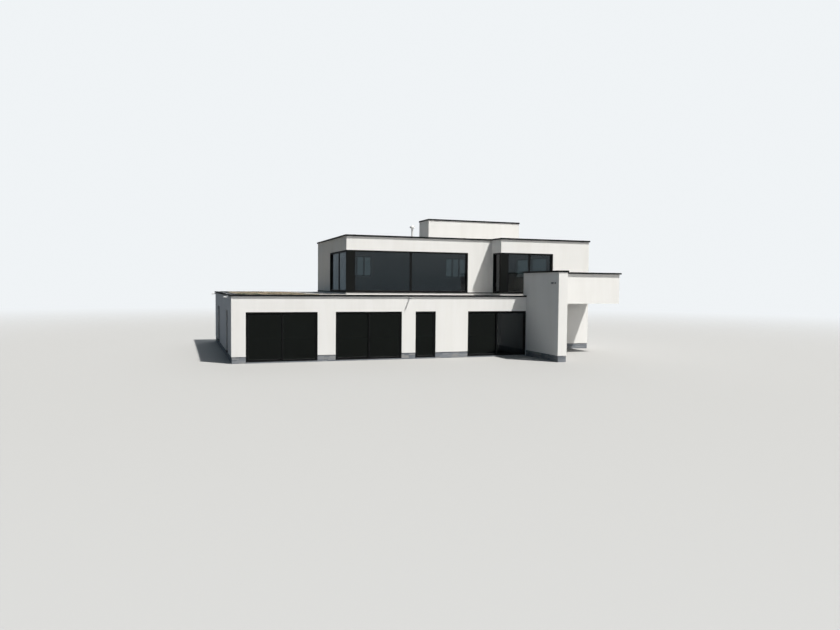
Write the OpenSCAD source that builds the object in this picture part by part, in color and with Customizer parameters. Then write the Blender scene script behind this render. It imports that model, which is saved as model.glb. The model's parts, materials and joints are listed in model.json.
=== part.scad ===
// Modern two-storey beach house with flat roofs, smooth white render and dark metal windows.
// All sizes are in millimetres. The plan is drawn from the left corner of the garden front:
// x runs right along that front, y runs back and z runs up from the ground.
// Each piece is then moved so that the origin is the middle of the whole, at ground level.

/* [Garden front] */
// Width of the pier at the left corner
corner_pier_w = 710; // [600:10:1200]
// Width of each of the three terrace openings
terrace_w = 3660; // [3300:10:4000]
// Width of the pier between the first two terrace openings
second_pier_w = 960; // [700:10:1400]
// Width of the pier left of the garden door
third_pier_w = 790; // [600:10:1200]
// Width of the garden door opening
garden_door_w = 1180; // [1000:10:1400]
// Width of the pier right of the garden door
fourth_pier_w = 1940; // [1400:10:2600]

/* [Ground floor] */
// Depth of the ground floor from front to back
house_d = 14750; // [14400:50:17000]
// Thickness of the outer walls
wall_t = 350; // [330:10:420]
// Thickness of the wing wall
wing_t = 540; // [400:10:700]
// How far the wing wall stands out in front of the garden front
wing_out = 3600; // [2500:50:4500]
// Width of the porch from the wing wall to the right end
porch_w = 5820; // [4900:10:7000]
// Depth of the porch under the canopy
porch_d = 3350; // [3000:50:4500]
// Thickness of the parapet round the canopy
parapet_t = 250; // [200:10:350]
// Distance from the wing wall to the entrance opening
entrance_x = 700; // [400:50:1500]
// Width of the entrance opening
entrance_w = 2100; // [1900:50:2600]
// Width of the entrance door leaf
entrance_door_w = 1050; // [900:10:1150]

/* [Side and back windows] */
// Distance from the garden front to the first window in the left wall
side_window_1_y = 2400; // [1500:50:4500]
// Width of the first side window
side_window_1_w = 1500; // [900:50:2000]
// Distance from the garden front to the second window in the side walls
side_window_2_y = 9950; // [9500:50:10500]
// Width of the second side window
side_window_2_w = 2050; // [1200:50:2600]
// Distance from the porch wall to the first window in the right wall
right_window_y = 2200; // [1200:50:3000]
// Width of each upright window in the ground floor back wall
back_window_w = 1200; // [900:10:1300]
// Distance from the left wall to the first back window
back_window_x = 800; // [600:10:1000]
// Distance from each of the first three back windows to the next
back_window_step = 6420; // [5500:10:6500]
// Distance from the left wall to the fourth back window
last_back_window_x = 17300; // [16500:10:19500]
// Width of each window in the upper back wall
upper_back_w = 1600; // [1200:50:2400]
// Width of the window in the upper right wall
upper_right_w = 4700; // [2400:50:4900]
// Sill of the upper windows in the back and right walls
upper_back_sill = 4650; // [4200:10:5000]
// Width of the upper back wall left of its first window
upper_back_pier = 2150; // [1200:50:3000]
// Wall between the upper right window and the inner back corner
upper_right_pier = 50; // [20:10:600]
// Distance from the left face of the upper storey to the second back window
upper_back_window_x = 9350; // [6000:50:10500]
// Set-back of the side and back windows behind the render
window_reveal = 100; // [60:10:140]
// Depth of the side and back window frames
window_d = 90; // [70:5:110]

/* [Upper storey] */
// Distance from the left wall to the left face of the upper storey
upper_x = 6600; // [5500:50:7200]
// Distance from the garden front back to the front of the upper storey
upper_y = 3000; // [2400:50:3600]
// Width of the upper front left of the bay
upper_w = 9130; // [8600:50:10000]
// Depth of the upper storey left of the bay
upper_d = 8450; // [7600:50:9800]
// Distance from the right end of the house to the right face of the upper storey
right_setback = 1110; // [600:50:1500]
// How far the bay stands out in front of the upper storey
bay_out = 1320; // [1000:50:1800]
// Width of the corner window on the upper front
corner_window_w = 7560; // [6000:50:8200]
// Length of the corner window on the left side
corner_window_d = 4550; // [3000:50:5500]
// Width of the bay window on its front
bay_window_w = 3540; // [2600:50:4000]
// Width of the wall strip beside the bay window on its left side
bay_strip_w = 190; // [50:10:250]
// Width of the clad post at each window corner, along the front
post_w = 410; // [300:10:500]
// Distance from the corner to the mullion of the corner window
corner_mullion_x = 3930; // [3000:10:4600]
// Depth of the clad post at each window corner
post_d = 120; // [100:10:200]

/* [Levels] */
// Top of the ground floor
floor_z = 80; // [60:5:120]
// Top of the stone sill under each door
sill_z = 50; // [30:5:55]
// Head of the ground floor openings
head_z = 2600; // [2300:10:2750]
// Ground floor ceiling
ceiling_z = 2950; // [2850:10:3000]
// Thickness of the roof slabs
slab_t = 300; // [200:10:320]
// Underside of the canopy
canopy_z = 3020; // [2980:10:3120]
// Height of the gravel on the roof slabs
gravel_t = 120; // [60:10:140]
// Height of the planted mat on the roof slab
mat_t = 200; // [160:10:260]
// Gravel strip left free round the planted mat
mat_margin = 400; // [300:10:600]
// Top of the coping round the ground floor roof
ground_top = 3500; // [3460:10:3600]
// Top of the wing wall and canopy copings
canopy_top = 4890; // [4500:10:5200]
// Thickness of the floor build-up on the slab
upper_floor_t = 280; // [200:10:290]
// Underside of the upper windows
upper_sill_z = 3630; // [3590:10:3750]
// Head of the upper windows
upper_head_z = 6030; // [5800:10:6150]
// Ceiling of the upper storey
upper_ceiling_z = 6250; // [6160:10:6300]
// Top of the coping round the upper roof
upper_top = 6910; // [6850:10:7100]

/* [Roof box and vent] */
// Distance from the left face of the upper storey to the roof box
box_x = 6090; // [5400:50:7000]
// Distance from the upper front back to the roof box
box_y = 3000; // [2000:50:4000]
// Width of the roof box
box_w = 6460; // [5000:50:7500]
// Depth of the roof box
box_d = 1800; // [1400:50:2600]
// Top of the coping on the roof box
box_top = 8300; // [7900:10:8800]
// Thickness of the walls and lid of the roof box
box_t = 200; // [150:10:250]
// Distance from the left face of the upper storey to the vent
vent_x = 5150; // [3500:50:5300]
// Distance from the upper front back to the vent
vent_y = 3500; // [2500:50:4500]
// Diameter of the vent pipe
vent_pipe_dia = 125; // [80:5:160]
// Diameter of the vent cowl
vent_cowl_dia = 320; // [250:10:400]
// Height of the vent cowl
vent_cowl_h = 175; // [140:5:220]
// Thickness of the vent cowl at its rim
vent_rim = 12; // [8:1:20]
// Top of the vent cowl
vent_top = 7880; // [7600:10:8200]

/* [Copings] */
// Height of the coping fascia
coping_h = 90; // [70:5:150]
// Overhang of the coping outside the wall
coping_over = 60; // [40:5:100]
// Overhang of the canopy coping
canopy_over = 90; // [40:5:120]
// Overhang of the roof box coping and of the wing wall coping at its front end
narrow_over = 30; // [20:5:60]
// Overhang of the coping inside the parapet
coping_in = 25; // [15:5:40]
// Height of the inner coping leg
coping_leg = 60; // [40:5:70]
// Thickness of the coping metal
coping_metal = 3; // [2:0.5:5]
// Length of a straight coping
coping_l = 3420; // [2500:10:4000]
// Length of a coping corner along each side
coping_corner_l = 460; // [300:10:700]
// Open joint between two coping lengths
coping_joint = 6; // [4:1:10]

/* [Flashing and sills] */
// Height of the metal flashing round the foot of the upper storey
flashing_h = 50; // [30:5:80]
// How far the flashing stands out from the render
flashing_out = 25; // [10:5:40]
// How far the window sills stand out from the render
sill_out = 40; // [20:5:60]
// Height of the drip at the front of the window sills
sill_drip = 30; // [20:5:50]

/* [Plinth] */
// Height of the stone plinth
plinth_h = 340; // [250:10:450]
// Thickness of the plinth stones
plinth_t = 30; // [20:5:40]
// Step of the plinth stones behind the render
plinth_step = 25; // [10:5:35]
// Open joint between plinth stones at a corner
plinth_joint = 3; // [2:1:6]

/* [Doors] */
// Set-back of the door frames behind the render
reveal = 30; // [20:5:50]
// Face width of the ground floor frames
frame_w = 60; // [50:5:80]
// Depth of the terrace door frames
frame_d = 190; // [180:5:220]
// Depth of the garden door frame
door_frame_d = 90; // [70:5:110]
// Height of the door tracks
track_h = 30; // [25:5:40]
// Height of the roller rail on the track
rail_h = 10; // [8:1:14]
// Width of the roller rail and the rollers
rail_w = 10; // [8:1:14]
// Thickness of a door leaf
leaf_t = 60; // [54:2:66]
// Gap between the fixed and the sliding leaf
leaf_gap = 18; // [12:1:24]
// Face width of the leaf stiles and rails
stile_w = 70; // [60:5:90]
// Running clearance round a moving leaf
leaf_clear = 8; // [6:1:12]
// Radius of the leaf rollers
roller_r = 16; // [14:1:20]
// Height of the door handles above the ground
handle_z = 1130; // [1000:10:1250]
// Length of a terrace pull handle
pull_l = 400; // [250:10:600]
// Radius of a terrace pull handle
pull_r = 10; // [8:1:12]
// Length of the garden door lever
lever_l = 130; // [100:5:150]
// Width and height of the lever's grip
lever_t = 16; // [12:1:20]
// Distance from the door leaf to the lever's grip
lever_out = 42; // [35:1:50]
// Radius of the rose behind the lever
rose_r = 26; // [20:1:30]
// Thickness of the rose
rose_t = 8; // [5:1:12]
// Radius of the hinge knuckles
hinge_r = 9; // [8:1:12]
// Radius of the hinge pins
hinge_pin_r = 5; // [4:0.5:6]
// Running clearance round the hinge pins
hinge_clear = 0.1; // [0.05:0.05:0.2]
// Length of a hinge
hinge_l = 90; // [70:5:120]
// Thickness of the hinge plates
hinge_plate = 6; // [4:1:8]

/* [Glazing] */
// Thickness of the glazing units
glass_t = 30; // [24:1:36]
// Depth of the glazing groove in the profiles
glass_bite = 15; // [10:1:20]
// Face width of the upper window frames
upper_frame_w = 90; // [70:5:110]
// Depth of the upper window frames
upper_frame_d = 260; // [200:5:270]
// Set-back of the upper frames and posts behind the render
upper_reveal = 20; // [10:5:30]
// Width of the window mullions
// Depth of the middle of the upper glass behind the frames' outer face
upper_glass_in = 105; // [80:5:150]
mullion_w = 110; // [80:5:140]
// Set-back of the mullions behind the face of a deep frame
mullion_in = 60; // [20:10:80]
// Gap at a seated joint between two pieces
fit = 0.3; // [0.2:0.05:0.5]

/* [Roof outlets and fixtures] */
// Outer diameter of an overflow spout
spout_dia = 70; // [50:5:90]
// Wall of an overflow spout
spout_wall = 4; // [2:0.5:6]
// How far a spout stands out from the wall
spout_l = 300; // [150:10:400]
// Height of the spouts above the ground
spout_z = 3345; // [3320:5:3350]
// Distance along the garden front to its spout
front_spout_x = 9420; // [9100:20:9600]
// Distance from each end of the left wall to its spouts
side_spout_y = 1000; // [700:50:1500]
// Distance of the camera from the front end of the wing wall
camera_y = 600; // [400:20:1200]
// Height of the camera above the ground
camera_z = 4220; // [3800:20:4500]
// Radius of the camera body
camera_r = 38; // [30:1:50]
// Length of the camera body
camera_l = 60; // [40:2:90]
// Distance from the wall to the camera body
camera_arm = 45; // [30:1:60]
// Thickness of the camera's wall plate
camera_plate = 18; // [10:1:25]
// Diameter of the conduit to the junction box
conduit_dia = 18; // [12:1:25]
// Distance from the camera to its junction box
camera_box_y = 260; // [150:10:350]

/* [Hidden] */

// Colours of the finishes
render_white = [0.93, 0.92, 0.89];
anthracite = [0.09, 0.10, 0.11];
stone_blue = [0.40, 0.43, 0.46];
gravel_grey = [0.68, 0.67, 0.64];
glass_tint = [0.10, 0.14, 0.15, 0.5];

// Openings along the garden front, each as [left, right]
terrace_1 = [corner_pier_w, corner_pier_w + terrace_w];
terrace_2 = [terrace_1[1] + second_pier_w, terrace_1[1] + second_pier_w + terrace_w];
garden_door = [terrace_2[1] + third_pier_w, terrace_2[1] + third_pier_w + garden_door_w];
terrace_3 = [garden_door[1] + fourth_pier_w, garden_door[1] + fourth_pier_w + terrace_w];
terraces = [terrace_1, terrace_2, terrace_3];
wing = [terrace_3[1], terrace_3[1] + wing_t];
house_w = wing[1] + porch_w;
entrance = [wing[1] + entrance_x, wing[1] + entrance_x + entrance_w];

// Levels that follow from the others
slab_top = ceiling_z + slab_t;
upper_slab_top = upper_ceiling_z + slab_t;
ground_parapet = ground_top - coping_metal - fit;
canopy_parapet = canopy_top - coping_metal - fit;
upper_parapet = upper_top - coping_metal - fit;
box_parapet = box_top - coping_metal - fit;

// Plan of the upper storey and the roof box
bay_x = upper_x + upper_w;
bay_y = upper_y - bay_out;
upper_right = house_w - right_setback;
upper_back = upper_y + upper_d;
upper_outline = [[upper_x, upper_y], [bay_x, upper_y], [bay_x, bay_y], [upper_right, bay_y],
                 [upper_right, upper_back], [upper_x, upper_back]];
ground_outline = [[0, 0], [house_w, 0], [house_w, house_d], [0, house_d]];
box_low = [upper_x + box_x, upper_y + box_y];
box_outline = [box_low, box_low + [box_w, 0], box_low + [box_w, box_d], box_low + [0, box_d]];

// Windows of the left, right and back walls, each as [start, end] along its wall
left_windows = [[side_window_1_y, side_window_1_y + side_window_1_w],
                [side_window_2_y, side_window_2_y + side_window_2_w]];
right_windows = [[porch_d + right_window_y, porch_d + right_window_y + side_window_1_w],
                 [side_window_2_y, side_window_2_y + side_window_2_w]];
back_window_places = [back_window_x, back_window_x + back_window_step,
                      back_window_x + 2 * back_window_step, last_back_window_x];
back_windows = [for (x = back_window_places) [x, x + back_window_w]];
upper_back_windows = [upper_x + upper_back_pier, upper_x + upper_back_window_x];
upper_right_window = [upper_back - wall_t - upper_right_pier - upper_right_w,
                      upper_back - wall_t - upper_right_pier];

// Leaves of the terrace doors
leaf_w = (terrace_w - 2 * frame_w + stile_w) / 2;
leaf_y_fixed = reveal + (frame_d - 2 * leaf_t - leaf_gap) / 2;
leaf_y_slide = leaf_y_fixed + leaf_t + leaf_gap;
track_top = sill_z + track_h;
leaf_low = track_top + rail_h + leaf_clear;
leaf_high = head_z - frame_w - leaf_clear;
leaf_lights = [[stile_w, leaf_w - stile_w]];

// Leaf of the garden door and its hinge line
door_x = garden_door[0] + frame_w + leaf_clear;
door_w = garden_door_w - 2 * frame_w - 2 * leaf_clear;
door_face = reveal + door_frame_d;
door_low = track_top + leaf_clear;
door_lights = [[stile_w, door_w - stile_w]];
hinge_x = door_x - leaf_clear / 2;
hinge_y = door_face + hinge_r;
hinge_places = [for (s = [0.1, 0.5, 0.9]) door_low + s * (leaf_high - door_low)];

// Middle of the bounding box, at the ground
middle = [(house_w + max(coping_over, canopy_over) - spout_l) / 2,
          (house_d + coping_over - wing_out - narrow_over) / 2];

// A box between two corners, each range as [low, high]
module block(x, y, z)
    translate([x[0], y[0], z[0]]) cube([x[1] - x[0], y[1] - y[0], z[1] - z[0]]);

// A prism on a plan outline
module prism(outline, z) translate([0, 0, z[0]]) linear_extrude(z[1] - z[0]) polygon(outline);

// Outward direction of the side of a right-angled outline that starts at point i
function side_normal(p, i) =
    let (d = p[(i + 1) % len(p)] - p[i % len(p)]) [sign(d[1]), -sign(d[0])];

// A right-angled outline moved outwards by d
function grow(p, d) =
    [for (i = [0 : len(p) - 1]) p[i] + d * (side_normal(p, i + len(p) - 1) + side_normal(p, i))];

// A ring between two offsets of an outline
module ring(p, outer, inner, z)
    difference() { prism(grow(p, outer), z); prism(grow(p, inner), [z[0] - 1, z[1] + 1]); }

// The piers that are left between openings along a wall
function piers_between(openings, from, to) =
    let (n = len(openings))
    [for (i = [0 : n]) [i == 0 ? from : openings[i - 1][1], i == n ? to : openings[i][0]]];

front_openings = [terrace_1, terrace_2, garden_door, terrace_3];
front_pier_places = [for (p = piers_between(front_openings, 0, wing[0])) if (p[1] > p[0]) p];
back_pier_places = piers_between(back_windows, 0, house_w);

// A rendered wall with a rebate for the plinth stones on the sides marked 1
module wall(x, y, z, front = 0, back = 0, left = 0, right = 0) {
    cut = plinth_t + plinth_step;
    block(x, y, [plinth_h, z[1]]);
    block([x[0] + left * cut, x[1] - right * cut], [y[0] + front * cut, y[1] - back * cut],
          [z[0], plinth_h]);
}

// Places a panel drawn along x with its outer face at y = 0, so that it faces left, right or back
module facing_left(x, y) translate([x, y, 0]) mirror([1, -1, 0]) children();
module facing_right(x, y) translate([x, y, 0]) rotate([0, 0, 90]) children();
module facing_back(x, y) translate([x, y, 0]) rotate([0, 0, 180]) children();

// Where the lengths of one straight side of a coping meet
function joint_places(l) =
    l < 3 * coping_corner_l ? [l / 2]
    : concat([for (s = [coping_corner_l : coping_l : l - 2 * coping_corner_l]) s], [l - coping_corner_l]);

// Folded metal coping round an outline, on a parapet of thickness t, with its top at z
module coping_ring(p, t, z, over = coping_over) {
    inner = -t - coping_in;
    difference() {
        union() {
            ring(p, over, inner, [z - coping_metal, z]);
            ring(p, over, over - coping_metal, [z - coping_h, z]);
            ring(p, inner + coping_metal, inner, [z - coping_leg, z]);
        }
        for (i = [0 : len(p) - 1])
            let (a = p[i], b = p[(i + 1) % len(p)], n = side_normal(p, i), l = norm(b - a))
                for (s = joint_places(l))
                    let (c = a + (b - a) / l * s - n * (t + coping_in - over) / 2)
                        translate([c[0], c[1], z])
                            cube([abs(n[0]) * (t + coping_in + over) + coping_joint,
                                  abs(n[1]) * (t + coping_in + over) + coping_joint,
                                  3 * coping_h], center = true);
    }
}

// The profiles of a glazed panel w wide, h high and d deep. Each light is a [left, right] pair,
// and groove is the distance of the glass from the outer face.
module glazed_frame(w, h, d, edge, lights, groove) {
    difference() {
        cube([w, d, h]);
        for (l = lights) {
            block(l, [-1, d + 1], [edge, h - edge]);
            block([l[0] - glass_bite, l[1] + glass_bite],
                  [groove - glass_t / 2 - fit, groove + glass_t / 2 + fit],
                  [edge - glass_bite, h - edge + glass_bite]);
        }
    }
}

// The glazing units of such a panel
module glazed_panes(h, edge, lights, groove)
    for (l = lights)
        block([l[0] - glass_bite + fit, l[1] + glass_bite - fit],
              [groove - glass_t / 2, groove + glass_t / 2],
              [edge - glass_bite + fit, h - edge + glass_bite - fit]);

// n equal lights across a width w between end profiles e and mullions m
function lights_of(w, e, n, m) =
    let (l = (w - 2 * e - (n - 1) * m) / n)
    [for (i = [0 : n - 1]) [e + i * (l + m), e + i * (l + m) + l]];

// Frame (part 0) or glazing (part 1) of a fixed window w wide between the levels z, with n equal
// lights or with those given
module window(w, z, e, n, part, d, groove, set_back = 0, given = []) {
    lights = len(given) > 0 ? given : lights_of(w - 2 * fit, e, n, mullion_w);
    h = z[1] - z[0] - 2 * fit;
    translate([fit, 0, z[0] + fit])
        if (part == 0) difference() {
            glazed_frame(w - 2 * fit, h, d, e, lights, groove);
            if (set_back > 0) block([e, w - 2 * fit - e], [-1, set_back], [e, h - e]);
        }
        else glazed_panes(h, e, lights, groove);
}

// The four profiles of a door frame, as lengths that meet at seated joints
module door_frame(o, d) {
    y = [reveal, reveal + d];
    block([o[0] + fit, o[0] + frame_w], y, [sill_z + fit, head_z - fit]);
    block([o[1] - frame_w, o[1] - fit], y, [sill_z + fit, head_z - fit]);
    block([o[0] + frame_w + fit, o[1] - frame_w - fit], y, [head_z - frame_w, head_z - fit]);
    block([o[0] + frame_w + fit, o[1] - frame_w - fit], y, [sill_z + fit, track_top]);
}

module plinth() color(stone_blue) {
    z = [0, plinth_h];
    near = [plinth_step, plinth_step + plinth_t];
    gap = near[1] + plinth_joint;
    for (p = front_pier_places) block([max(p[0], plinth_step), p[1]], near, z);
    for (p = back_pier_places)
        block([max(p[0], plinth_step), min(p[1], house_w - plinth_step)],
              [house_d - near[1], house_d - near[0]], z);
    for (p = piers_between([entrance], wing[1], house_w))
        block([p[0], min(p[1], house_w - plinth_step)], [porch_d + near[0], porch_d + near[1]], z);
    block(near, [gap, house_d - gap], z);
    block([house_w - near[1], house_w - near[0]], [porch_d + gap, house_d - gap], z);
    block([wing[1] - near[1], wing[1] - near[0]], [wall_t, porch_d], z);
    block([wing[0] + near[0], wing[0] + near[1]], [gap - wing_out, 0], z);
    block([wing[1] - near[1], wing[1] - near[0]], [gap - wing_out, wall_t - plinth_joint], z);
    block([wing[0] + plinth_step, wing[1] - plinth_step], [near[0] - wing_out, near[1] - wing_out], z);
}

module thresholds() color(stone_blue) {
    z = [0, sill_z];
    for (o = front_openings) block([o[0] + fit, o[1] - fit], [-reveal, wall_t - fit], z);
    block([entrance[0] + fit, entrance[1] - fit], [porch_d - reveal, porch_d + wall_t - fit], z);
    for (o = back_windows) block([o[0] + fit, o[1] - fit], [house_d - wall_t + fit, house_d + reveal], z);
}

module front_piers() color(render_white)
    for (p = front_pier_places)
        wall(p, [0, wall_t], [0, head_z], front = 1, left = p[0] == 0 ? 1 : 0);

// Hole through a wall for an overflow spout, at the origin and along y
module spout_hole() rotate([-90, 0, 0])
    translate([0, 0, -1]) cylinder(d = spout_dia + 2 * fit, h = wall_t + 2, $fn = 48);

module ground_lintels() color(render_white) {
    difference() {
        block([0, wing[0]], [0, wall_t], [head_z, ground_parapet]);
        translate([front_spout_x, 0, spout_z]) spout_hole();
    }
    block([0, house_w], [house_d - wall_t, house_d], [head_z, ground_parapet]);
    block([wing[1], house_w - wall_t], [porch_d, porch_d + wall_t], [head_z, ceiling_z]);
}

module left_wall() color(render_white) difference() {
    wall([0, wall_t], [wall_t, house_d - wall_t], [0, ground_parapet], left = 1);
    for (o = left_windows) block([-1, wall_t + 1], o, [plinth_h, head_z]);
    for (y = [side_spout_y, house_d - side_spout_y])
        facing_left(0, y) translate([0, 0, spout_z]) spout_hole();
}

module right_walls() color(render_white) {
    wall([wing[1] - wall_t, wing[1]], [wall_t, porch_d], [0, ceiling_z], right = 1);
    block([wing[1] - wall_t, wing[1]], [porch_d, porch_d + wall_t], [0, ceiling_z]);
    difference() {
        wall([house_w - wall_t, house_w], [porch_d, house_d - wall_t], [0, ground_parapet],
             front = 1, right = 1);
        for (o = right_windows) block([house_w - wall_t - 1, house_w + 1], o, [plinth_h, head_z]);
    }
}

module back_piers() color(render_white)
    for (p = back_pier_places)
        wall(p, [house_d - wall_t, house_d], [0, head_z], back = 1,
             left = p[0] == 0 ? 1 : 0, right = p[1] == house_w ? 1 : 0);

module entrance_piers() color(render_white)
    for (p = piers_between([entrance], wing[1], house_w - wall_t))
        wall(p, [porch_d, porch_d + wall_t], [0, head_z], front = 1);

module wing_wall() color(render_white) {
    wall(wing, [-wing_out, 0], [0, canopy_parapet], front = 1, left = 1, right = 1);
    wall(wing, [0, wall_t], [0, canopy_parapet], right = 1);
}

module ground_floor() color([0.62, 0.58, 0.52])
    prism([[wall_t, wall_t], [wing[1] - wall_t, wall_t], [wing[1] - wall_t, porch_d + wall_t],
           [house_w - wall_t, porch_d + wall_t], [house_w - wall_t, house_d - wall_t],
           [wall_t, house_d - wall_t]], [0, floor_z]);

module ground_roof() color(render_white)
    prism([[wall_t, wall_t], [wing[1], wall_t], [wing[1], porch_d], [house_w - wall_t, porch_d],
           [house_w - wall_t, house_d - wall_t], [wall_t, house_d - wall_t]],
          [ceiling_z, slab_top]);

module canopy_deck() color(render_white)
    block([wing[1], house_w - parapet_t], [parapet_t, porch_d], [canopy_z, slab_top]);

module canopy_front() color(render_white)
    block([wing[1], house_w], [0, parapet_t], [canopy_z, canopy_parapet]);

module canopy_side() color(render_white)
    block([house_w - parapet_t, house_w], [parapet_t, porch_d], [canopy_z, canopy_parapet]);

mat_outline = [[wall_t + mat_margin, wall_t + mat_margin], [upper_x - mat_margin, wall_t + mat_margin],
               [upper_x - mat_margin, house_d - wall_t - mat_margin],
               [wall_t + mat_margin, house_d - wall_t - mat_margin]];

module roof_mat() color([0.42, 0.40, 0.26]) prism(mat_outline, [slab_top, slab_top + mat_t]);

module roof_gravel() color(gravel_grey) difference() {
    prism([[wall_t, wall_t], [wing[1], wall_t], [wing[1], parapet_t], [house_w - parapet_t, parapet_t],
           [house_w - parapet_t, porch_d], [house_w - wall_t, porch_d],
           [house_w - wall_t, house_d - wall_t], [wall_t, house_d - wall_t]],
          [slab_top, slab_top + gravel_t]);
    prism(upper_outline, [slab_top - 1, slab_top + gravel_t + 1]);
    prism(mat_outline, [slab_top - 1, slab_top + gravel_t + 1]);
}

module upper_floor() color([0.60, 0.52, 0.42])
    prism(grow(upper_outline, -wall_t), [slab_top, slab_top + upper_floor_t]);

module upper_piers() color(render_white) {
    z = [slab_top, upper_head_z];
    block([upper_x + corner_window_w, bay_x], [upper_y, upper_y + wall_t], z);
    block([bay_x, bay_x + wall_t], [upper_y - bay_strip_w, upper_y + wall_t], z);
    block([upper_x, upper_x + wall_t], [upper_y + corner_window_d, upper_back - wall_t], z);
    block([bay_x + bay_window_w, upper_right], [bay_y, bay_y + wall_t], z);
}

// Low rendered walls under the corner windows
module upper_sills() color(render_white) {
    z = [slab_top, upper_sill_z];
    block([upper_x, upper_x + corner_window_w], [upper_y, upper_y + wall_t], z);
    block([upper_x, upper_x + wall_t], [upper_y + wall_t, upper_y + corner_window_d], z);
    block([bay_x, bay_x + bay_window_w], [bay_y, bay_y + wall_t], z);
    block([bay_x, bay_x + wall_t], [bay_y + wall_t, upper_y - bay_strip_w], z);
}

module upper_front_lintels() color(render_white) {
    z = [upper_head_z, upper_parapet];
    block([upper_x, bay_x], [upper_y, upper_y + wall_t], z);
    block([bay_x, upper_right], [bay_y, bay_y + wall_t], z);
}

module upper_side_lintels() color(render_white) {
    z = [upper_head_z, upper_parapet];
    block([upper_x, upper_x + wall_t], [upper_y + wall_t, upper_back - wall_t], z);
    block([bay_x, bay_x + wall_t], [bay_y + wall_t, upper_y + wall_t], z);
}

module upper_right_wall() color(render_white) difference() {
    block([upper_right - wall_t, upper_right], [bay_y + wall_t, upper_back - wall_t],
          [slab_top, upper_parapet]);
    block([upper_right - wall_t - 1, upper_right + 1], upper_right_window,
          [upper_back_sill, upper_head_z]);
}

module upper_back_wall() color(render_white) difference() {
    block([upper_x, upper_right], [upper_back - wall_t, upper_back], [slab_top, upper_parapet]);
    for (x = upper_back_windows)
        block([x, x + upper_back_w], [upper_back - wall_t - 1, upper_back + 1],
              [upper_back_sill, upper_head_z]);
}

module upper_roof() color(render_white)
    prism(grow(upper_outline, -wall_t), [upper_ceiling_z, upper_slab_top]);

module upper_gravel() color(gravel_grey) difference() {
    prism(grow(upper_outline, -wall_t), [upper_slab_top, upper_slab_top + gravel_t]);
    prism(box_outline, [upper_slab_top - 1, upper_slab_top + gravel_t + 1]);
    translate([upper_x + vent_x, upper_y + vent_y, upper_slab_top - 1])
        cylinder(d = vent_pipe_dia + 2 * fit, h = gravel_t + 2, $fn = 48);
}

module roof_box() color(render_white) difference() {
    prism(box_outline, [upper_slab_top, box_parapet]);
    prism(grow(box_outline, -box_t), [upper_slab_top - 1, box_parapet - 2 * coping_leg - box_t]);
    prism(grow(box_outline, -box_t), [box_parapet - 2 * coping_leg, box_parapet + 1]);
}

module ground_coping() color(anthracite) difference() {
    coping_ring(ground_outline, wall_t, ground_top);
    block([wing[0] - fit, house_w + 2 * coping_over], [-2 * coping_over, porch_d + coping_joint],
          [ground_top - 2 * coping_h, ground_top + 1]);
}

module upper_coping() color(anthracite) coping_ring(upper_outline, wall_t, upper_top);

module box_coping() color(anthracite) coping_ring(box_outline, box_t, box_top, narrow_over);

module canopy_coping() color(anthracite) {
    cap = [[wing[0] - coping_over, -wing_out - narrow_over],
           [wing[1] + coping_over, -wing_out - narrow_over],
           [wing[1] + coping_over, wall_t + coping_over],
           [wing[0] - coping_over, wall_t + coping_over]];
    far = porch_d + house_w;
    difference() {
        union() {
            prism(cap, [canopy_top - coping_metal, canopy_top]);
            ring(cap, 0, -coping_metal, [canopy_top - coping_h, canopy_top]);
        }
        block([wing[0] - 2 * coping_over, wing[1] + 2 * coping_over],
              [coping_l - wing_out - coping_joint, coping_l - wing_out],
              [canopy_top - 2 * coping_h, canopy_top + 1]);
        block([wing[1] - 1, wing[1] + 2 * coping_over], [-canopy_over - fit, parapet_t + coping_in + fit],
              [canopy_top - 2 * coping_h, canopy_top - coping_metal]);
    }
    difference() {
        coping_ring([[0, 0], [house_w, 0], [house_w, far], [0, far]], parapet_t, canopy_top,
                    canopy_over);
        block([-2 * canopy_over, wing[1] + coping_over + coping_joint],
              [-2 * canopy_over, far + 2 * canopy_over], [canopy_top - 2 * coping_h, canopy_top + 1]);
        block([-2 * canopy_over, house_w + 2 * canopy_over], [porch_d, far + 2 * canopy_over],
              [canopy_top - 2 * coping_h, canopy_top + 1]);
    }
}

// Metal strip round the foot of the upper walls, with a leg over the low walls under the windows
module upper_flashing() color(anthracite) difference() {
    z = [upper_sill_z - flashing_h, upper_sill_z];
    ring(upper_outline, flashing_out, fit, z);
    block([upper_right + fit, upper_right + 1000], [porch_d - coping_joint, porch_d + coping_joint],
          [z[0] - 1, z[1] + 1]);
}

// A bent sill under a window w wide whose opening starts at z, drawn at the face y = 0
module sill_plate(w, z, depth) {
    block([fit, w - fit], [-sill_out, depth - fit], [z + fit, z + fit + coping_metal]);
    block([fit, w - fit], [-sill_out, coping_metal - sill_out], [z - sill_drip, z + coping_metal]);
}

module window_sills() color(anthracite) {
    for (o = left_windows) facing_left(0, o[0]) sill_plate(o[1] - o[0], plinth_h, window_reveal);
    for (o = right_windows) facing_right(house_w, o[0])
        sill_plate(o[1] - o[0], plinth_h, window_reveal);
    for (x = upper_back_windows) facing_back(x + upper_back_w, upper_back)
        sill_plate(upper_back_w, upper_back_sill, window_reveal);
    facing_right(upper_right, upper_right_window[0])
        sill_plate(upper_right_w, upper_back_sill, window_reveal);
}

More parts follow.
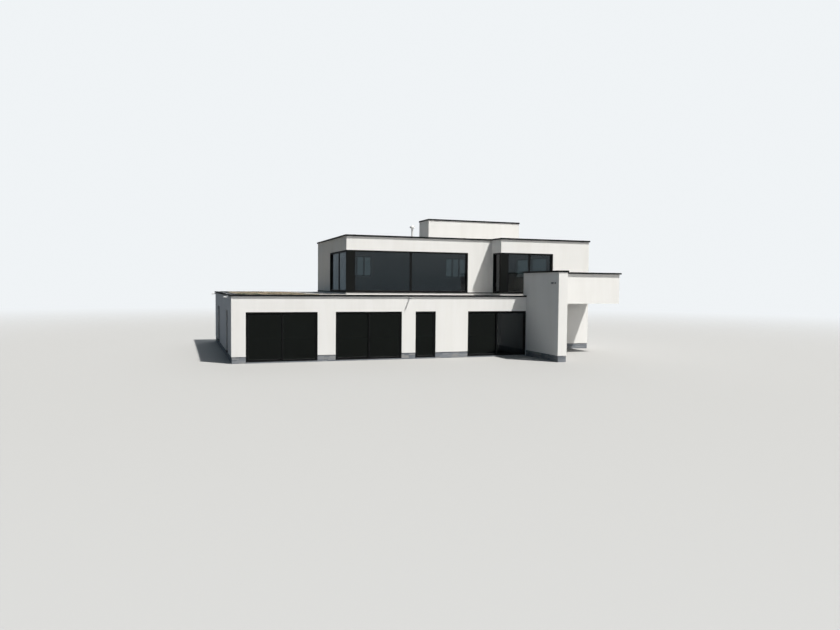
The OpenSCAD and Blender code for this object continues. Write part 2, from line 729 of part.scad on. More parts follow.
module terrace_frames() color(anthracite) {
    for (o = terraces) {
        door_frame(o, frame_d);
        block([o[0] + frame_w + fit, o[1] - frame_w - fit],
              [leaf_y_slide + leaf_t / 2 - rail_w / 2, leaf_y_slide + leaf_t / 2 + rail_w / 2],
              [track_top, track_top + rail_h]);
    }
    door_frame(garden_door, door_frame_d);
    for (z = hinge_places) {
        translate([hinge_x, hinge_y, z - hinge_l / 2]) cylinder(r = hinge_r, h = hinge_l / 2, $fn = 32);
        translate([hinge_x, hinge_y, z - hinge_l / 2]) cylinder(r = hinge_pin_r, h = hinge_l, $fn = 32);
        block([garden_door[0] + frame_w / 2, hinge_x], [door_face, door_face + hinge_plate],
              [z - hinge_l / 2, z]);
    }
}

module terrace_fixed_leaves() color(anthracite) for (o = terraces)
    translate([o[1] - frame_w - fit - leaf_w, leaf_y_fixed, track_top + fit])
        glazed_frame(leaf_w, leaf_high + leaf_clear - track_top - 2 * fit, leaf_t, stile_w,
                     leaf_lights, leaf_t / 2);

// One sliding leaf with its rollers and its pull handle
module sliding_leaf(o) color(anthracite)
    translate([o[0] + frame_w + leaf_clear, leaf_y_slide, 0]) {
        translate([0, 0, leaf_low])
            glazed_frame(leaf_w, leaf_high - leaf_low, leaf_t, stile_w, leaf_lights, leaf_t / 2);
        for (x = [2 * stile_w, leaf_w - 2 * stile_w])
            translate([x, leaf_t / 2, track_top + rail_h + fit + roller_r])
                rotate([90, 0, 0]) cylinder(r = roller_r, h = rail_w, center = true, $fn = 48);
        translate([stile_w / 2, -leaf_gap - 2 * pull_r, handle_z - pull_l / 2])
            cylinder(r = pull_r, h = pull_l, $fn = 32);
        for (side = [-1, 1])
            translate([stile_w / 2, -leaf_gap - 2 * pull_r, handle_z + side * (pull_l / 2 - 4 * pull_r)])
                rotate([-90, 0, 0]) cylinder(r = pull_r / 2, h = leaf_gap + 3 * pull_r, $fn = 32);
    }

module sliding_glass(o) color(glass_tint)
    translate([o[0] + frame_w + leaf_clear, leaf_y_slide, leaf_low])
        glazed_panes(leaf_high - leaf_low, stile_w, leaf_lights, leaf_t / 2);

module sliding_leaf_1() sliding_leaf(terrace_1);
module sliding_leaf_2() sliding_leaf(terrace_2);
module sliding_leaf_3() sliding_leaf(terrace_3);
module sliding_glass_1() sliding_glass(terrace_1);
module sliding_glass_2() sliding_glass(terrace_2);
module sliding_glass_3() sliding_glass(terrace_3);

// Lever handle on its rose, drawn at the face y = 0 and standing out along y
module lever() {
    rotate([-90, 0, 0]) translate([0, 0, -1]) cylinder(r = rose_r, h = rose_t + 1, $fn = 32);
    rotate([-90, 0, 0]) translate([0, 0, -1])
        cylinder(d = lever_t, h = lever_out + lever_t / 2 + 1, $fn = 32);
    block([-lever_l, lever_t / 2], [lever_out, lever_out + lever_t], [-lever_t / 2, lever_t / 2]);
}

module garden_door_leaf() color(anthracite) difference() {
    union() {
        translate([door_x, door_face - leaf_t, door_low])
            glazed_frame(door_w, leaf_high - door_low, leaf_t, stile_w, door_lights, leaf_t / 2);
        translate([door_x + door_w - stile_w / 2, door_face, handle_z]) lever();
        translate([door_x + door_w - stile_w / 2, door_face - leaf_t, handle_z])
            mirror([0, 1, 0]) lever();
        for (z = hinge_places) {
            translate([hinge_x, hinge_y, z + fit]) cylinder(r = hinge_r, h = hinge_l / 2 - fit, $fn = 32);
            block([hinge_x, door_x + stile_w / 2], [door_face - 1, door_face + hinge_plate],
                  [z + fit, z + hinge_l / 2]);
        }
    }
    for (z = hinge_places) translate([hinge_x, hinge_y, z - 1])
        cylinder(r = hinge_pin_r + hinge_clear, h = hinge_l / 2 + 2, $fn = 32);
}

module garden_door_glass() color(glass_tint)
    translate([door_x, door_face - leaf_t, door_low])
        glazed_panes(leaf_high - door_low, stile_w, door_lights, leaf_t / 2);

// Frames (part 0) or glazing (part 1) of the fixed ground floor windows
module ground_windows(part) {
    side_z = [plinth_h, head_z];
    for (o = left_windows) facing_left(window_reveal, o[0])
        window(o[1] - o[0], side_z, frame_w, 1, part, window_d, window_d / 2);
    for (o = right_windows) facing_right(house_w - window_reveal, o[0])
        window(o[1] - o[0], side_z, frame_w, 1, part, window_d, window_d / 2);
    for (o = back_windows) facing_back(o[1], house_d - window_reveal)
        window(o[1] - o[0], [sill_z, head_z], frame_w, 1, part, window_d, window_d / 2);
}

module ground_window_frames() color(anthracite) {
    ground_windows(0);
    translate([entrance[0] + fit, porch_d + window_reveal, sill_z + fit])
        glazed_frame(entrance_w - 2 * fit, head_z - sill_z - 2 * fit, window_d, frame_w,
                     [[frame_w, frame_w + entrance_door_w],
                      [2 * frame_w + entrance_door_w, entrance_w - 2 * fit - frame_w]], window_d / 2);
}

module ground_glass() color(glass_tint) {
    ground_windows(1);
    translate([entrance[0] + fit, porch_d + window_reveal, sill_z + fit])
        glazed_panes(head_z - sill_z - 2 * fit, frame_w,
                     [[2 * frame_w + entrance_door_w, entrance_w - 2 * fit - frame_w]], window_d / 2);
    for (o = terraces)
        translate([o[1] - frame_w - fit - leaf_w, leaf_y_fixed, track_top + fit])
            glazed_panes(leaf_high + leaf_clear - track_top - 2 * fit, stile_w, leaf_lights, leaf_t / 2);
}

// The entrance door is a flat panel leaf that fills the first light of its frame
module entrance_door() color(anthracite)
    translate([entrance[0] + fit, porch_d + window_reveal, sill_z + fit])
        glazed_panes(head_z - sill_z - 2 * fit, frame_w, [[frame_w, frame_w + entrance_door_w]],
                     window_d / 2);

// Frames (part 0) or glazing (part 1) of the upper windows
module upper_windows(part) {
    z = [upper_sill_z, upper_head_z];
    back_z = [upper_back_sill, upper_head_z];
    groove = upper_glass_in;
    skip = [upper_reveal + post_w, upper_reveal + post_d];
    split = corner_mullion_x - skip[0] - mullion_w / 2;
    corner_lights = [[upper_frame_w, split],
                     [split + mullion_w, corner_window_w - skip[0] - 2 * fit - upper_frame_w]];
    translate([upper_x + skip[0], upper_y + upper_reveal, 0])
        window(corner_window_w - skip[0], z, upper_frame_w, 2, part, upper_frame_d, groove, mullion_in,
               corner_lights);
    translate([bay_x + skip[0], bay_y + upper_reveal, 0])
        window(bay_window_w - skip[0], z, upper_frame_w, 2, part, upper_frame_d, groove, mullion_in);
    facing_left(upper_x + upper_reveal, upper_y + skip[1])
        window(corner_window_d - skip[1], z, upper_frame_w, 2, part, upper_frame_d, groove, mullion_in);
    facing_left(bay_x + upper_reveal, bay_y + skip[1])
        window(bay_out - bay_strip_w - skip[1], z, upper_frame_w, 1, part, upper_frame_d, groove);
    for (x = upper_back_windows) facing_back(x + upper_back_w, upper_back - window_reveal)
        window(upper_back_w, back_z, frame_w, 3, part, window_d, window_d / 2);
    facing_right(upper_right - window_reveal, upper_right_window[0])
        window(upper_right_w, back_z, frame_w, 2, part, window_d, window_d / 2);
}

module upper_window_frames() color(anthracite) upper_windows(0);
module upper_glass() color(glass_tint) upper_windows(1);

module corner_posts() color([0.16, 0.17, 0.18])
    for (c = [[upper_x, upper_y], [bay_x, bay_y]])
        block([c[0] + upper_reveal, c[0] + upper_reveal + post_w],
              [c[1] + upper_reveal, c[1] + upper_reveal + post_d],
              [upper_sill_z + fit, upper_head_z - fit]);

// Half outline of the vent: pipe, open neck and domed cowl, as [radius, height] points
cowl_r = vent_cowl_dia / 2;
pipe_r = vent_pipe_dia / 2;
cowl_low = vent_top - vent_cowl_h;
vent_profile = concat(
    [[0, upper_slab_top + fit], [pipe_r, upper_slab_top + fit], [pipe_r, cowl_low + vent_cowl_h / 4],
     [cowl_r - vent_rim, cowl_low + vent_cowl_h / 4], [cowl_r - vent_rim, cowl_low], [cowl_r, cowl_low]],
    [for (a = [0 : 10 : 90])
        [cowl_r * cos(a), cowl_low + vent_cowl_h / 3 + vent_cowl_h * 2 / 3 * sin(a)]]);

module vent() color([0.85, 0.85, 0.84])
    translate([upper_x + vent_x, upper_y + vent_y, 0]) rotate_extrude($fn = 48) polygon(vent_profile);

// An overflow spout that passes through a wall, drawn along y with the wall's outer face at y = 0
module spout() rotate([-90, 0, 0]) translate([0, 0, -spout_l]) difference() {
    cylinder(d = spout_dia, h = spout_l + wall_t, $fn = 48);
    translate([0, 0, -1]) cylinder(d = spout_dia - 2 * spout_wall, h = spout_l + wall_t + 2, $fn = 48);
}

module overflow_spouts() color([0.90, 0.90, 0.90]) {
    translate([front_spout_x, 0, spout_z]) spout();
    for (y = [side_spout_y, house_d - side_spout_y])
        facing_left(0, y) translate([0, 0, spout_z]) spout();
}

module wall_camera() color([0.25, 0.26, 0.27])
    translate([wing[0], camera_y - wing_out, camera_z]) rotate([0, -90, 0]) {
        cylinder(r = camera_r * 1.4, h = camera_plate, $fn = 48);
        cylinder(r = camera_r / 2, h = camera_arm + camera_l / 2, $fn = 32);
        translate([0, 0, camera_arm]) cylinder(r = camera_r, h = camera_l, $fn = 48);
        translate([0, 0, camera_arm + camera_l]) sphere(r = camera_r * 0.8, $fn = 32);
        translate([-camera_r, -camera_box_y - camera_r, 0])
            cube([2 * camera_r, 2 * camera_r, camera_arm]);
        translate([0, -camera_box_y, conduit_dia / 2 + fit])
            rotate([-90, 0, 0]) cylinder(d = conduit_dia, h = camera_box_y, $fn = 32);
    }

// Puts the origin at the middle of the whole
module placed() translate([-middle[0], -middle[1], 0]) children();

placed() plinth();
placed() thresholds();
placed() front_piers();
placed() ground_lintels();
placed() left_wall();
placed() right_walls();
placed() back_piers();
placed() entrance_piers();
placed() wing_wall();
placed() ground_floor();
placed() ground_roof();
placed() canopy_deck();
placed() canopy_front();
placed() canopy_side();
placed() roof_mat();
placed() roof_gravel();
placed() upper_floor();
placed() upper_piers();
placed() upper_sills();
placed() upper_front_lintels();
placed() upper_side_lintels();
placed() upper_right_wall();
placed() upper_back_wall();
placed() upper_roof();
placed() upper_gravel();
placed() roof_box();
placed() ground_coping();
placed() upper_coping();
placed() box_coping();
placed() canopy_coping();
placed() upper_flashing();
placed() window_sills();
placed() terrace_frames();
placed() terrace_fixed_leaves();
placed() sliding_leaf_1();
placed() sliding_leaf_2();
placed() sliding_leaf_3();
placed() sliding_glass_1();
placed() sliding_glass_2();
placed() sliding_glass_3();
placed() garden_door_leaf();
placed() garden_door_glass();
placed() ground_window_frames();
placed() ground_glass();
placed() upper_window_frames();
placed() upper_glass();
placed() corner_posts();
placed() entrance_door();
placed() vent();
placed() overflow_spouts();
placed() wall_camera();
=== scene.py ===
# %% [markdown]
# # A white beach house, dressed in Blender
# The house arrives as a set of exact solids: walls, slabs, copings, frames and glass. This notebook gives every one
# of them its finish, adds what is too fine for the solids, such as the plinth stones and the plants on the roof, and
# sets up a camera and a plain studio. Each step first says what the piece is on a real house, how it could be made,
# and why it is made this way.

# %% Start: load the solids
import json
import math

import bpy
import numpy as np
from mathutils import Matrix, Vector


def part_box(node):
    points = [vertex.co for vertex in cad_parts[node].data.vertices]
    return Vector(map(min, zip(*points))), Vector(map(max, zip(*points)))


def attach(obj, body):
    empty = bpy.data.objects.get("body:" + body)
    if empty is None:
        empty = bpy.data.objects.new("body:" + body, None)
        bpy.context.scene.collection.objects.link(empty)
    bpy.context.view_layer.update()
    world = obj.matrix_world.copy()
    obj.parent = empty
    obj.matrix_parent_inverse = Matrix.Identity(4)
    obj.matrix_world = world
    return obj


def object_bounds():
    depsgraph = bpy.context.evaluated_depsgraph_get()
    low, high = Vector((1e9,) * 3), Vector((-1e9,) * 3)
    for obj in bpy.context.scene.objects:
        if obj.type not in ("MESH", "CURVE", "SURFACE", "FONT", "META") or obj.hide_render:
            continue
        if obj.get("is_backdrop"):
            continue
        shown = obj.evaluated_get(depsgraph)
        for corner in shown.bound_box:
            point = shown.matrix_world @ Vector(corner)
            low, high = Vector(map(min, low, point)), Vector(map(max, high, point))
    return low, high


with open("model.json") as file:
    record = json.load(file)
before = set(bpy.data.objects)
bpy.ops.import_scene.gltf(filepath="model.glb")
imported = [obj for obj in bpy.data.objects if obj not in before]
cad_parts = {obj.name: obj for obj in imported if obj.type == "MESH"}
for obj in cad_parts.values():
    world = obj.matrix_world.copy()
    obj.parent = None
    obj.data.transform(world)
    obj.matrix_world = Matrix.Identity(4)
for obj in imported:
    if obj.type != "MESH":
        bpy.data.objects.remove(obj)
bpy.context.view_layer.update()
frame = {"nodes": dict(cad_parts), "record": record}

# %% [markdown]
# The house was drawn from the left corner of its front. That corner is the lowest corner of the front piers, so one
# call finds it, and every place below can be written as metres to the right, back and up from that corner. Numbers in
# the frame of the solids would work too, but nobody could check them with a tape measure.

# %% The corner that places are measured from
corner = np.array(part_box("front_piers")[0])
print("front corner at", corner.round(3))


def place(x, y, z):
    """Metres right, back and up from the front corner, turned into the frame of the solids."""
    return corner + np.array([x, y, z])


# %% [markdown]
# ## Camera
# The picture was taken from a little left of the house and a little above eye level, with a lens that sees about 63
# degrees across. A camera can be aimed at a target, but then its lean stays nought. So a matrix is used: its columns
# are the directions right, up and backwards. They are worked out from three angles, the turn to the right, the dip
# below the horizon and a slight lean, which were solved from the straight edges of the house in the photograph.

# %% Camera
turn, dip, lean = math.radians(19.457), math.radians(-2.45), math.radians(0.501)
focal_pixels, picture_pixels, sensor_mm = 688.2, 840.0, 36.0
ahead = Vector((math.sin(turn) * math.cos(dip), math.cos(turn) * math.cos(dip), math.sin(dip)))
across = Vector((math.cos(turn), -math.sin(turn), 0.0))
upward = across.cross(ahead)
across, upward = (math.cos(lean) * across + math.sin(lean) * upward,
                  math.cos(lean) * upward - math.sin(lean) * across)
lens = bpy.data.cameras.new("front_view")
lens.sensor_width = sensor_mm
lens.lens = focal_pixels * sensor_mm / picture_pixels
lens.clip_end = 600.0
camera = bpy.data.objects.new("front_view", lens)
turned = Matrix((across, upward, -ahead)).transposed().to_4x4()
camera.matrix_world = Matrix.Translation(Vector(place(-2.549, -35.611, 4.023))) @ turned
bpy.context.scene.collection.objects.link(camera)
bpy.context.scene.camera = camera
print("camera", [round(v, 2) for v in camera.location], "lens", round(lens.lens, 2), "mm")

# %% [markdown]
# ## Light
# One lamp far away stands for a big key light, high on the right in front of the house, so the wing wall and the bay
# draw slanting shadows. Area lamps would need a place and a size for so long a house. A sun lamp has only a
# direction, and its width of two degrees keeps the shadows' edges soft. A wide fill from the front lifts the shadows
# on the front, but leaves the walls that face left in their cool shade. A weak, wide lamp behind lifts the back. The
# world gives the even rest.

# %% Key, fill and back light


def distant_lamp(name, towards, strength, width, colour):
    """A sun lamp: every ray comes from the direction `towards`, spread over `width` degrees."""
    lamp = bpy.data.lights.new(name, "SUN")
    lamp.energy, lamp.angle, lamp.color = strength, math.radians(width), colour
    lamp.cycles.use_multiple_importance_sampling = False
    holder = bpy.data.objects.new(name, lamp)
    holder.rotation_euler = Vector(towards).to_track_quat("Z", "Y").to_euler()
    bpy.context.scene.collection.objects.link(holder)
    return holder


distant_lamp("key_light", (0.39, -0.445, 1.0), 5.2, 2.0, (1.0, 0.985, 0.955))
distant_lamp("front_fill", (0.32, -1.0, 0.05), 1.17, 55.0, (1.0, 0.955, 0.90))
distant_lamp("back_light", (0.35, 0.9, 0.55), 1.1, 50.0, (0.95, 0.97, 1.0))
print("three lamps")

# %% [markdown]
# The world is seen in three ways. One colour for all would be simpler, but it would either grey the backdrop or wash
# out the shaded walls. The Light Path node tells the rays apart. Rays from the camera and through glass see a pale
# backdrop. Rays from gloss see it weaker, and darker towards the horizon, as a real pane would: that is why the ground
# floor's glass is nearly black and the upper panes brighten upwards. Rays that carry light to the walls see a quieter
# tone, so that faces turned from the key stay grey.

# %% World
world = bpy.data.worlds.new("studio")
bpy.context.scene.world = world
world.use_nodes = True
wn, wl = world.node_tree.nodes, world.node_tree.links
wn.clear()
out = wn.new("ShaderNodeOutputWorld")
chooser = wn.new("ShaderNodeMixShader")
path = wn.new("ShaderNodeLightPath")
backdrop_colour = (0.87, 0.90, 0.92, 1.0)
fill = wn.new("ShaderNodeBackground")
fill.inputs["Color"].default_value = (0.55, 0.78, 1.0, 1.0)
fill.inputs["Strength"].default_value = 0.135
pale = wn.new("ShaderNodeBackground")
pale.inputs["Color"].default_value = backdrop_colour
pale.inputs["Strength"].default_value = 1.0


def seen_directly(nodes, links, light_path, gloss_share):
    """1 for rays from the camera or through glass, gloss_share (a number or a socket) for rays from gloss, and 0
    for rays that carry light, which are those that have met a matt surface on their way."""
    total = None
    for kind, share in (("Is Camera Ray", 1.0), ("Is Transmission Ray", 1.0), ("Is Glossy Ray", gloss_share)):
        weighed, larger = nodes.new("ShaderNodeMath"), nodes.new("ShaderNodeMath")
        weighed.operation, larger.operation = "MULTIPLY", "MAXIMUM"
        links.new(light_path.outputs[kind], weighed.inputs[0])
        if isinstance(share, float):
            weighed.inputs[1].default_value = share
        else:
            links.new(share, weighed.inputs[1])
        links.new(weighed.outputs[0], larger.inputs[0])
        if total is None:
            larger.inputs[1].default_value = 0.0
        else:
            links.new(total, larger.inputs[1])
        total = larger.outputs[0]
    no_matt_yet, kept = nodes.new("ShaderNodeMath"), nodes.new("ShaderNodeMath")
    no_matt_yet.operation, kept.operation = "LESS_THAN", "MULTIPLY"
    links.new(light_path.outputs["Diffuse Depth"], no_matt_yet.inputs[0])
    no_matt_yet.inputs[1].default_value = 0.5
    links.new(total, kept.inputs[0])
    links.new(no_matt_yet.outputs[0], kept.inputs[1])
    return kept.outputs[0]


# The share that gloss sees climbs with the height of the ray's direction, and soft noise breaks up its edge
direction = wn.new("ShaderNodeTexCoord")
height = wn.new("ShaderNodeSeparateXYZ")
wl.new(direction.outputs["Generated"], height.inputs[0])
skyline = wn.new("ShaderNodeTexNoise")
skyline.inputs["Scale"].default_value = 14.0
skyline.inputs["Detail"].default_value = 5.0
wl.new(direction.outputs["Generated"], skyline.inputs["Vector"])
uneven = wn.new("ShaderNodeMath")
uneven.operation = "MULTIPLY_ADD"
uneven.inputs[1].default_value = -0.06
wl.new(skyline.outputs["Fac"], uneven.inputs[0])
wl.new(height.outputs["Z"], uneven.inputs[2])
backdrop_share = wn.new("ShaderNodeMapRange")
backdrop_share.interpolation_type = "SMOOTHSTEP"
for key, value in (("From Min", -0.045), ("From Max", 0.02), ("To Min", 0.07), ("To Max", 0.24)):
    backdrop_share.inputs[key].default_value = value
wl.new(uneven.outputs[0], backdrop_share.inputs["Value"])
# Gloss that looks past the house to the back sees less still
backwards, gloss_share = wn.new("ShaderNodeMapRange"), wn.new("ShaderNodeMath")
for key, value in (("From Min", 0.2), ("From Max", 0.9), ("To Min", 1.0), ("To Max", 0.5)):
    backwards.inputs[key].default_value = value
wl.new(height.outputs["Y"], backwards.inputs["Value"])
gloss_share.operation = "MULTIPLY"
wl.new(backdrop_share.outputs["Result"], gloss_share.inputs[0])
wl.new(backwards.outputs["Result"], gloss_share.inputs[1])
wl.new(seen_directly(wn, wl, path, gloss_share.outputs[0]), chooser.inputs[0])
wl.new(fill.outputs[0], chooser.inputs[1])
wl.new(pale.outputs[0], chooser.inputs[2])
wl.new(chooser.outputs[0], out.inputs["Surface"])
bpy.context.scene.view_settings.view_transform = "Standard"
print("world with", len(wn), "nodes")

# %% [markdown]
# ## Meshes from numbers
# New pieces are surfaces worked out with numpy. They could be pulled from cubes by hand, but a formula can be read,
# checked and changed. Two forms are enough for this house: a grid, where each point is a function of two parameters,
# and a profile that is carried along a path. Both end as arrays of points and of faces.

# %% From arrays to a piece


def piece(name, points, faces, body, finish, slot, smooth=False):
    """A mesh object from an (n, 3) array of points and an (m, 3 or 4) array of faces, which rides on a body."""
    mesh = bpy.data.meshes.new(name)
    points = np.ascontiguousarray(points, dtype=np.float32)
    faces = np.ascontiguousarray(faces, dtype=np.int32)
    sides = faces.shape[1]
    mesh.vertices.add(len(points))
    mesh.vertices.foreach_set("co", points.ravel())
    mesh.loops.add(faces.size)
    mesh.loops.foreach_set("vertex_index", faces.ravel())
    mesh.polygons.add(len(faces))
    mesh.polygons.foreach_set("loop_start", np.arange(0, faces.size, sides, dtype=np.int32))
    mesh.polygons.foreach_set("use_smooth", np.full(len(faces), smooth))
    mesh.update(calc_edges=True)
    mesh.validate()
    obj = bpy.data.objects.new(name, mesh)
    bpy.context.scene.collection.objects.link(obj)
    mesh.materials.append(finish)
    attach(obj, body)
    print(name, len(points), "points,", len(faces), "faces")
    return obj


def grid_faces(across_n, up_n, copies=1, wrap=False):
    """Quads of a grid of across_n by up_n points, point (i, j) at index i * up_n + j, for many equal grids at once.
    With wrap, the last row of points joins the first."""
    rows = across_n if wrap else across_n - 1
    i, j = np.meshgrid(np.arange(rows), np.arange(up_n - 1), indexing="ij")
    a = (i * up_n + j).ravel()
    b = (((i + 1) % across_n) * up_n + j).ravel()
    quads = np.stack([a, b, b + 1, a + 1], axis=1)
    start = np.arange(copies)[:, None, None] * (across_n * up_n)
    return (quads[None] + start).reshape(-1, 4)


print("a 3 by 3 grid has", len(grid_faces(3, 3)), "quads")

# %% [markdown]
# Many small pieces follow the solids: seals follow the panes, and stones follow the plinth blocks. So it helps to
# know the box of each separate solid in a node. Blender can split a mesh into its loose parts, but the solids must
# stay whole. Instead, triangles that share a point are put together by passing the smallest label from point to point
# until nothing changes.

# %% Boxes of the separate solids in a node


def node_points(node):
    """(n, 3) array of the points of a CAD node."""
    mesh = frame["nodes"][node].data
    co = np.empty(len(mesh.vertices) * 3, dtype=np.float32)
    mesh.vertices.foreach_get("co", co)
    return co.reshape(-1, 3)


def solid_boxes(node):
    """(n, 2, 3) array with the lowest and highest corner of each separate solid of a CAD node."""
    co = node_points(node)
    mesh = frame["nodes"][node].data
    mesh.calc_loop_triangles()
    tri = np.empty(len(mesh.loop_triangles) * 3, dtype=np.int32)
    mesh.loop_triangles.foreach_get("vertices", tri)
    key, same = np.unique(np.round(co, 4), axis=0, return_inverse=True)
    tri = same.reshape(-1)[tri].reshape(-1, 3)
    label = np.arange(len(key))
    while True:
        least = label[tri].min(axis=1)
        new = label.copy()
        for k in range(3):
            np.minimum.at(new, tri[:, k], least)
        if (new == label).all():
            break
        label = new
    names = np.unique(label)
    return np.array([[key[label == n].min(axis=0), key[label == n].max(axis=0)] for n in names])


print("panes on the ground floor:", len(solid_boxes("ground_glass")))

# %% [markdown]
# ## Finishes
# Every finish is a Principled shader whose colour and bump come from noise, measured in metres on the object itself,
# so a grain of render or a pebble has its real size. Pictures of real walls would need seams and files, and would look
# the same on every wall. A small kit of helpers keeps each recipe short.

# %% Kit for finishes


class Finish:
    """A material with one Principled shader, and helpers that add noise, colour ramps and bump to it."""

    def __init__(self, name, colour, roughness, metallic=0.0):
        self.material = bpy.data.materials.new(name)
        self.material.use_nodes = True
        self.nodes = self.material.node_tree.nodes
        self.links = self.material.node_tree.links
        self.shader = self.nodes["Principled BSDF"]
        self.shader.inputs["Base Color"].default_value = (*colour, 1.0)
        self.shader.inputs["Roughness"].default_value = roughness
        self.shader.inputs["Metallic"].default_value = metallic
        self.coords = self.nodes.new("ShaderNodeTexCoord").outputs["Object"]

    def stretched(self, scale):
        """Object coordinates multiplied by a vector, for patterns that are longer one way."""
        mapping = self.nodes.new("ShaderNodeMapping")
        mapping.inputs["Scale"].default_value = scale
        self.links.new(self.coords, mapping.inputs["Vector"])
        return mapping.outputs["Vector"]

    def noise(self, scale, detail=3.0, rough=0.55, coords=None):
        """Smooth random values about 0.5, with features about 1 / scale metres wide."""
        node = self.nodes.new("ShaderNodeTexNoise")
        node.inputs["Scale"].default_value = scale
        node.inputs["Detail"].default_value = detail
        node.inputs["Roughness"].default_value = rough
        self.links.new(coords or self.coords, node.inputs["Vector"])
        return node.outputs["Fac"]

    def cells(self, scale):
        """Voronoi cells about 1 / scale metres wide: the node, for its distance and its colour."""
        node = self.nodes.new("ShaderNodeTexVoronoi")
        node.inputs["Scale"].default_value = scale
        self.links.new(self.coords, node.inputs["Vector"])
        return node

    def ramp(self, value, stops):
        """Colours laid out along a value, as (position, colour) stops."""
        node = self.nodes.new("ShaderNodeValToRGB")
        node.color_ramp.elements[0].position = stops[0][0]
        node.color_ramp.elements[0].color = (*stops[0][1], 1.0)
        node.color_ramp.elements[1].position = stops[-1][0]
        node.color_ramp.elements[1].color = (*stops[-1][1], 1.0)
        for position, colour in stops[1:-1]:
            node.color_ramp.elements.new(position).color = (*colour, 1.0)
        self.links.new(value, node.inputs["Fac"])
        return node.outputs["Color"]

    def mixed(self, a, b, amount, blend="MIX"):
        """Two colours mixed by an amount, which is a number or a socket."""
        node = self.nodes.new("ShaderNodeMix")
        node.data_type = "RGBA"
        node.blend_type = blend
        for value, socket in ((amount, node.inputs[0]), (a, node.inputs[6]), (b, node.inputs[7])):
            if isinstance(value, bpy.types.NodeSocket):
                self.links.new(value, socket)
            else:
                socket.default_value = value if isinstance(value, (int, float)) else (*value, 1.0)
        return node.outputs[2]

    def math(self, operation, a, b=0.0, c=0.0):
        """One step of arithmetic on numbers or sockets."""
        node = self.nodes.new("ShaderNodeMath")
        node.operation = operation
        for value, socket in zip((a, b, c), node.inputs):
            if isinstance(value, bpy.types.NodeSocket):
                self.links.new(value, socket)
            else:
                socket.default_value = value
        return node.outputs[0]

    def attribute(self, name):
        """A value stored on the mesh, such as the tone of each stone."""
        node = self.nodes.new("ShaderNodeAttribute")
        node.attribute_name = name
        return node.outputs["Fac"]

    def colour(self, socket):
        """The socket becomes the surface's colour."""
        self.links.new(socket, self.shader.inputs["Base Color"])

    def roughness(self, value, low, high):
        """Roughness that moves between low and high with a value."""
        node = self.nodes.new("ShaderNodeMapRange")
        node.inputs["To Min"].default_value = low
        node.inputs["To Max"].default_value = high
        self.links.new(value, node.inputs["Value"])
        self.links.new(node.outputs["Result"], self.shader.inputs["Roughness"])

    def bump(self, heights):
        """Fine relief from (value, height in metres) pairs, chained so that they add up."""
        last = None
        for value, height in heights:
            node = self.nodes.new("ShaderNodeBump")
            node.inputs["Strength"].default_value = 1.0
            node.inputs["Distance"].default_value = height
            self.links.new(value, node.inputs["Height"])
            if last is not None:
                self.links.new(last, node.inputs["Normal"])
            last = node.outputs["Normal"]
        self.links.new(last, self.shader.inputs["Normal"])


print("finish kit ready")

# %% [markdown]
# **White render.** A thin coloured coat on insulation, rubbed smooth with a felt float. Seen close it is a fine sand
# grain. From a distance it is even, with faint clouds where the coat is thicker, and pale grey runs where rain comes
# off the copings. Runs are noise that is stretched eight times upwards: drawn streaks would look like stripes.

# %% Render


def render_finish(name, colour):
    """White render: wide clouds and vertical runs of a few hundredths, and two sizes of grain."""
    f = Finish(name, colour, 0.88)
    clouds = f.ramp(f.noise(0.45, 4.0), [(0.30, (0.972,) * 3), (0.70, (1.0,) * 3)])
    runs = f.ramp(f.noise(1.6, 5.0, 0.6, f.stretched((1.0, 1.0, 0.12))),
                  [(0.36, (0.965, 0.962, 0.955)), (0.56, (1.0,) * 3)])
    tint = f.mixed(clouds, runs, 1.0, "MULTIPLY")
    f.colour(f.mixed(colour, tint, 1.0, "MULTIPLY"))
    f.bump([(f.noise(6.0, 3.0), 0.0012), (f.noise(420.0, 2.0), 0.0005)])
    return f.material


render_white = render_finish("render_white", (0.845, 0.835, 0.81))
print(render_white.name)

# %% [markdown]
# **Anthracite coating.** Copings, frames and doors are aluminium with a powder coat. The coat has a fine
# orange-peel relief and a satin gloss that dust dulls in patches. Copings lie in the weather, so theirs is duller
# than the frames'. Nearly all of their look is gloss, so the roughness carries the variation.

# %% Coated metal


def coated_metal(name, colour, low, high, dust, gloss=0.5):
    """Powder coat: a base colour with a little dust, satin gloss in patches and an orange-peel relief."""
    f = Finish(name, colour, (low + high) / 2)
    f.shader.inputs["Specular IOR Level"].default_value = gloss
    patches = f.noise(2.5, 5.0, 0.6)
    dusty = tuple(min(1.0, c + dust) for c in colour)
    f.colour(f.mixed(colour, dusty, f.math("MULTIPLY", patches, 0.6)))
    f.roughness(patches, low, high)
    f.bump([(f.noise(900.0, 2.0), 0.00006)])
    return f.material


coping_metal = coated_metal("coping_metal", (0.0045, 0.0050, 0.0060), 0.52, 0.70, 0.005, 0.12)
frame_metal = coated_metal("frame_metal", (0.0030, 0.0036, 0.0042), 0.40, 0.55, 0.002, 0.12)
post_metal = coated_metal("post_metal", (0.0036, 0.0046, 0.0042), 0.50, 0.65, 0.002, 0.12)
white_metal = coated_metal("white_metal", (0.70, 0.70, 0.69), 0.35, 0.55, 0.0)
camera_case = coated_metal("camera_case", (0.10, 0.102, 0.108), 0.30, 0.45, 0.01)
print("five coated metals")

# %% [markdown]
# **Glass.** A window holds a sealed unit of two or three sheets, each with two faces that mirror. Four faces could be
# modelled, but each unit is one solid pane here, so its index of refraction is raised until one face mirrors as much
# as the four real ones do together. Modern solar glass is grey and lets only a part of the light through. Float glass
# is never quite flat, and a very slight wave makes reflections swim a little.

# %% Glass


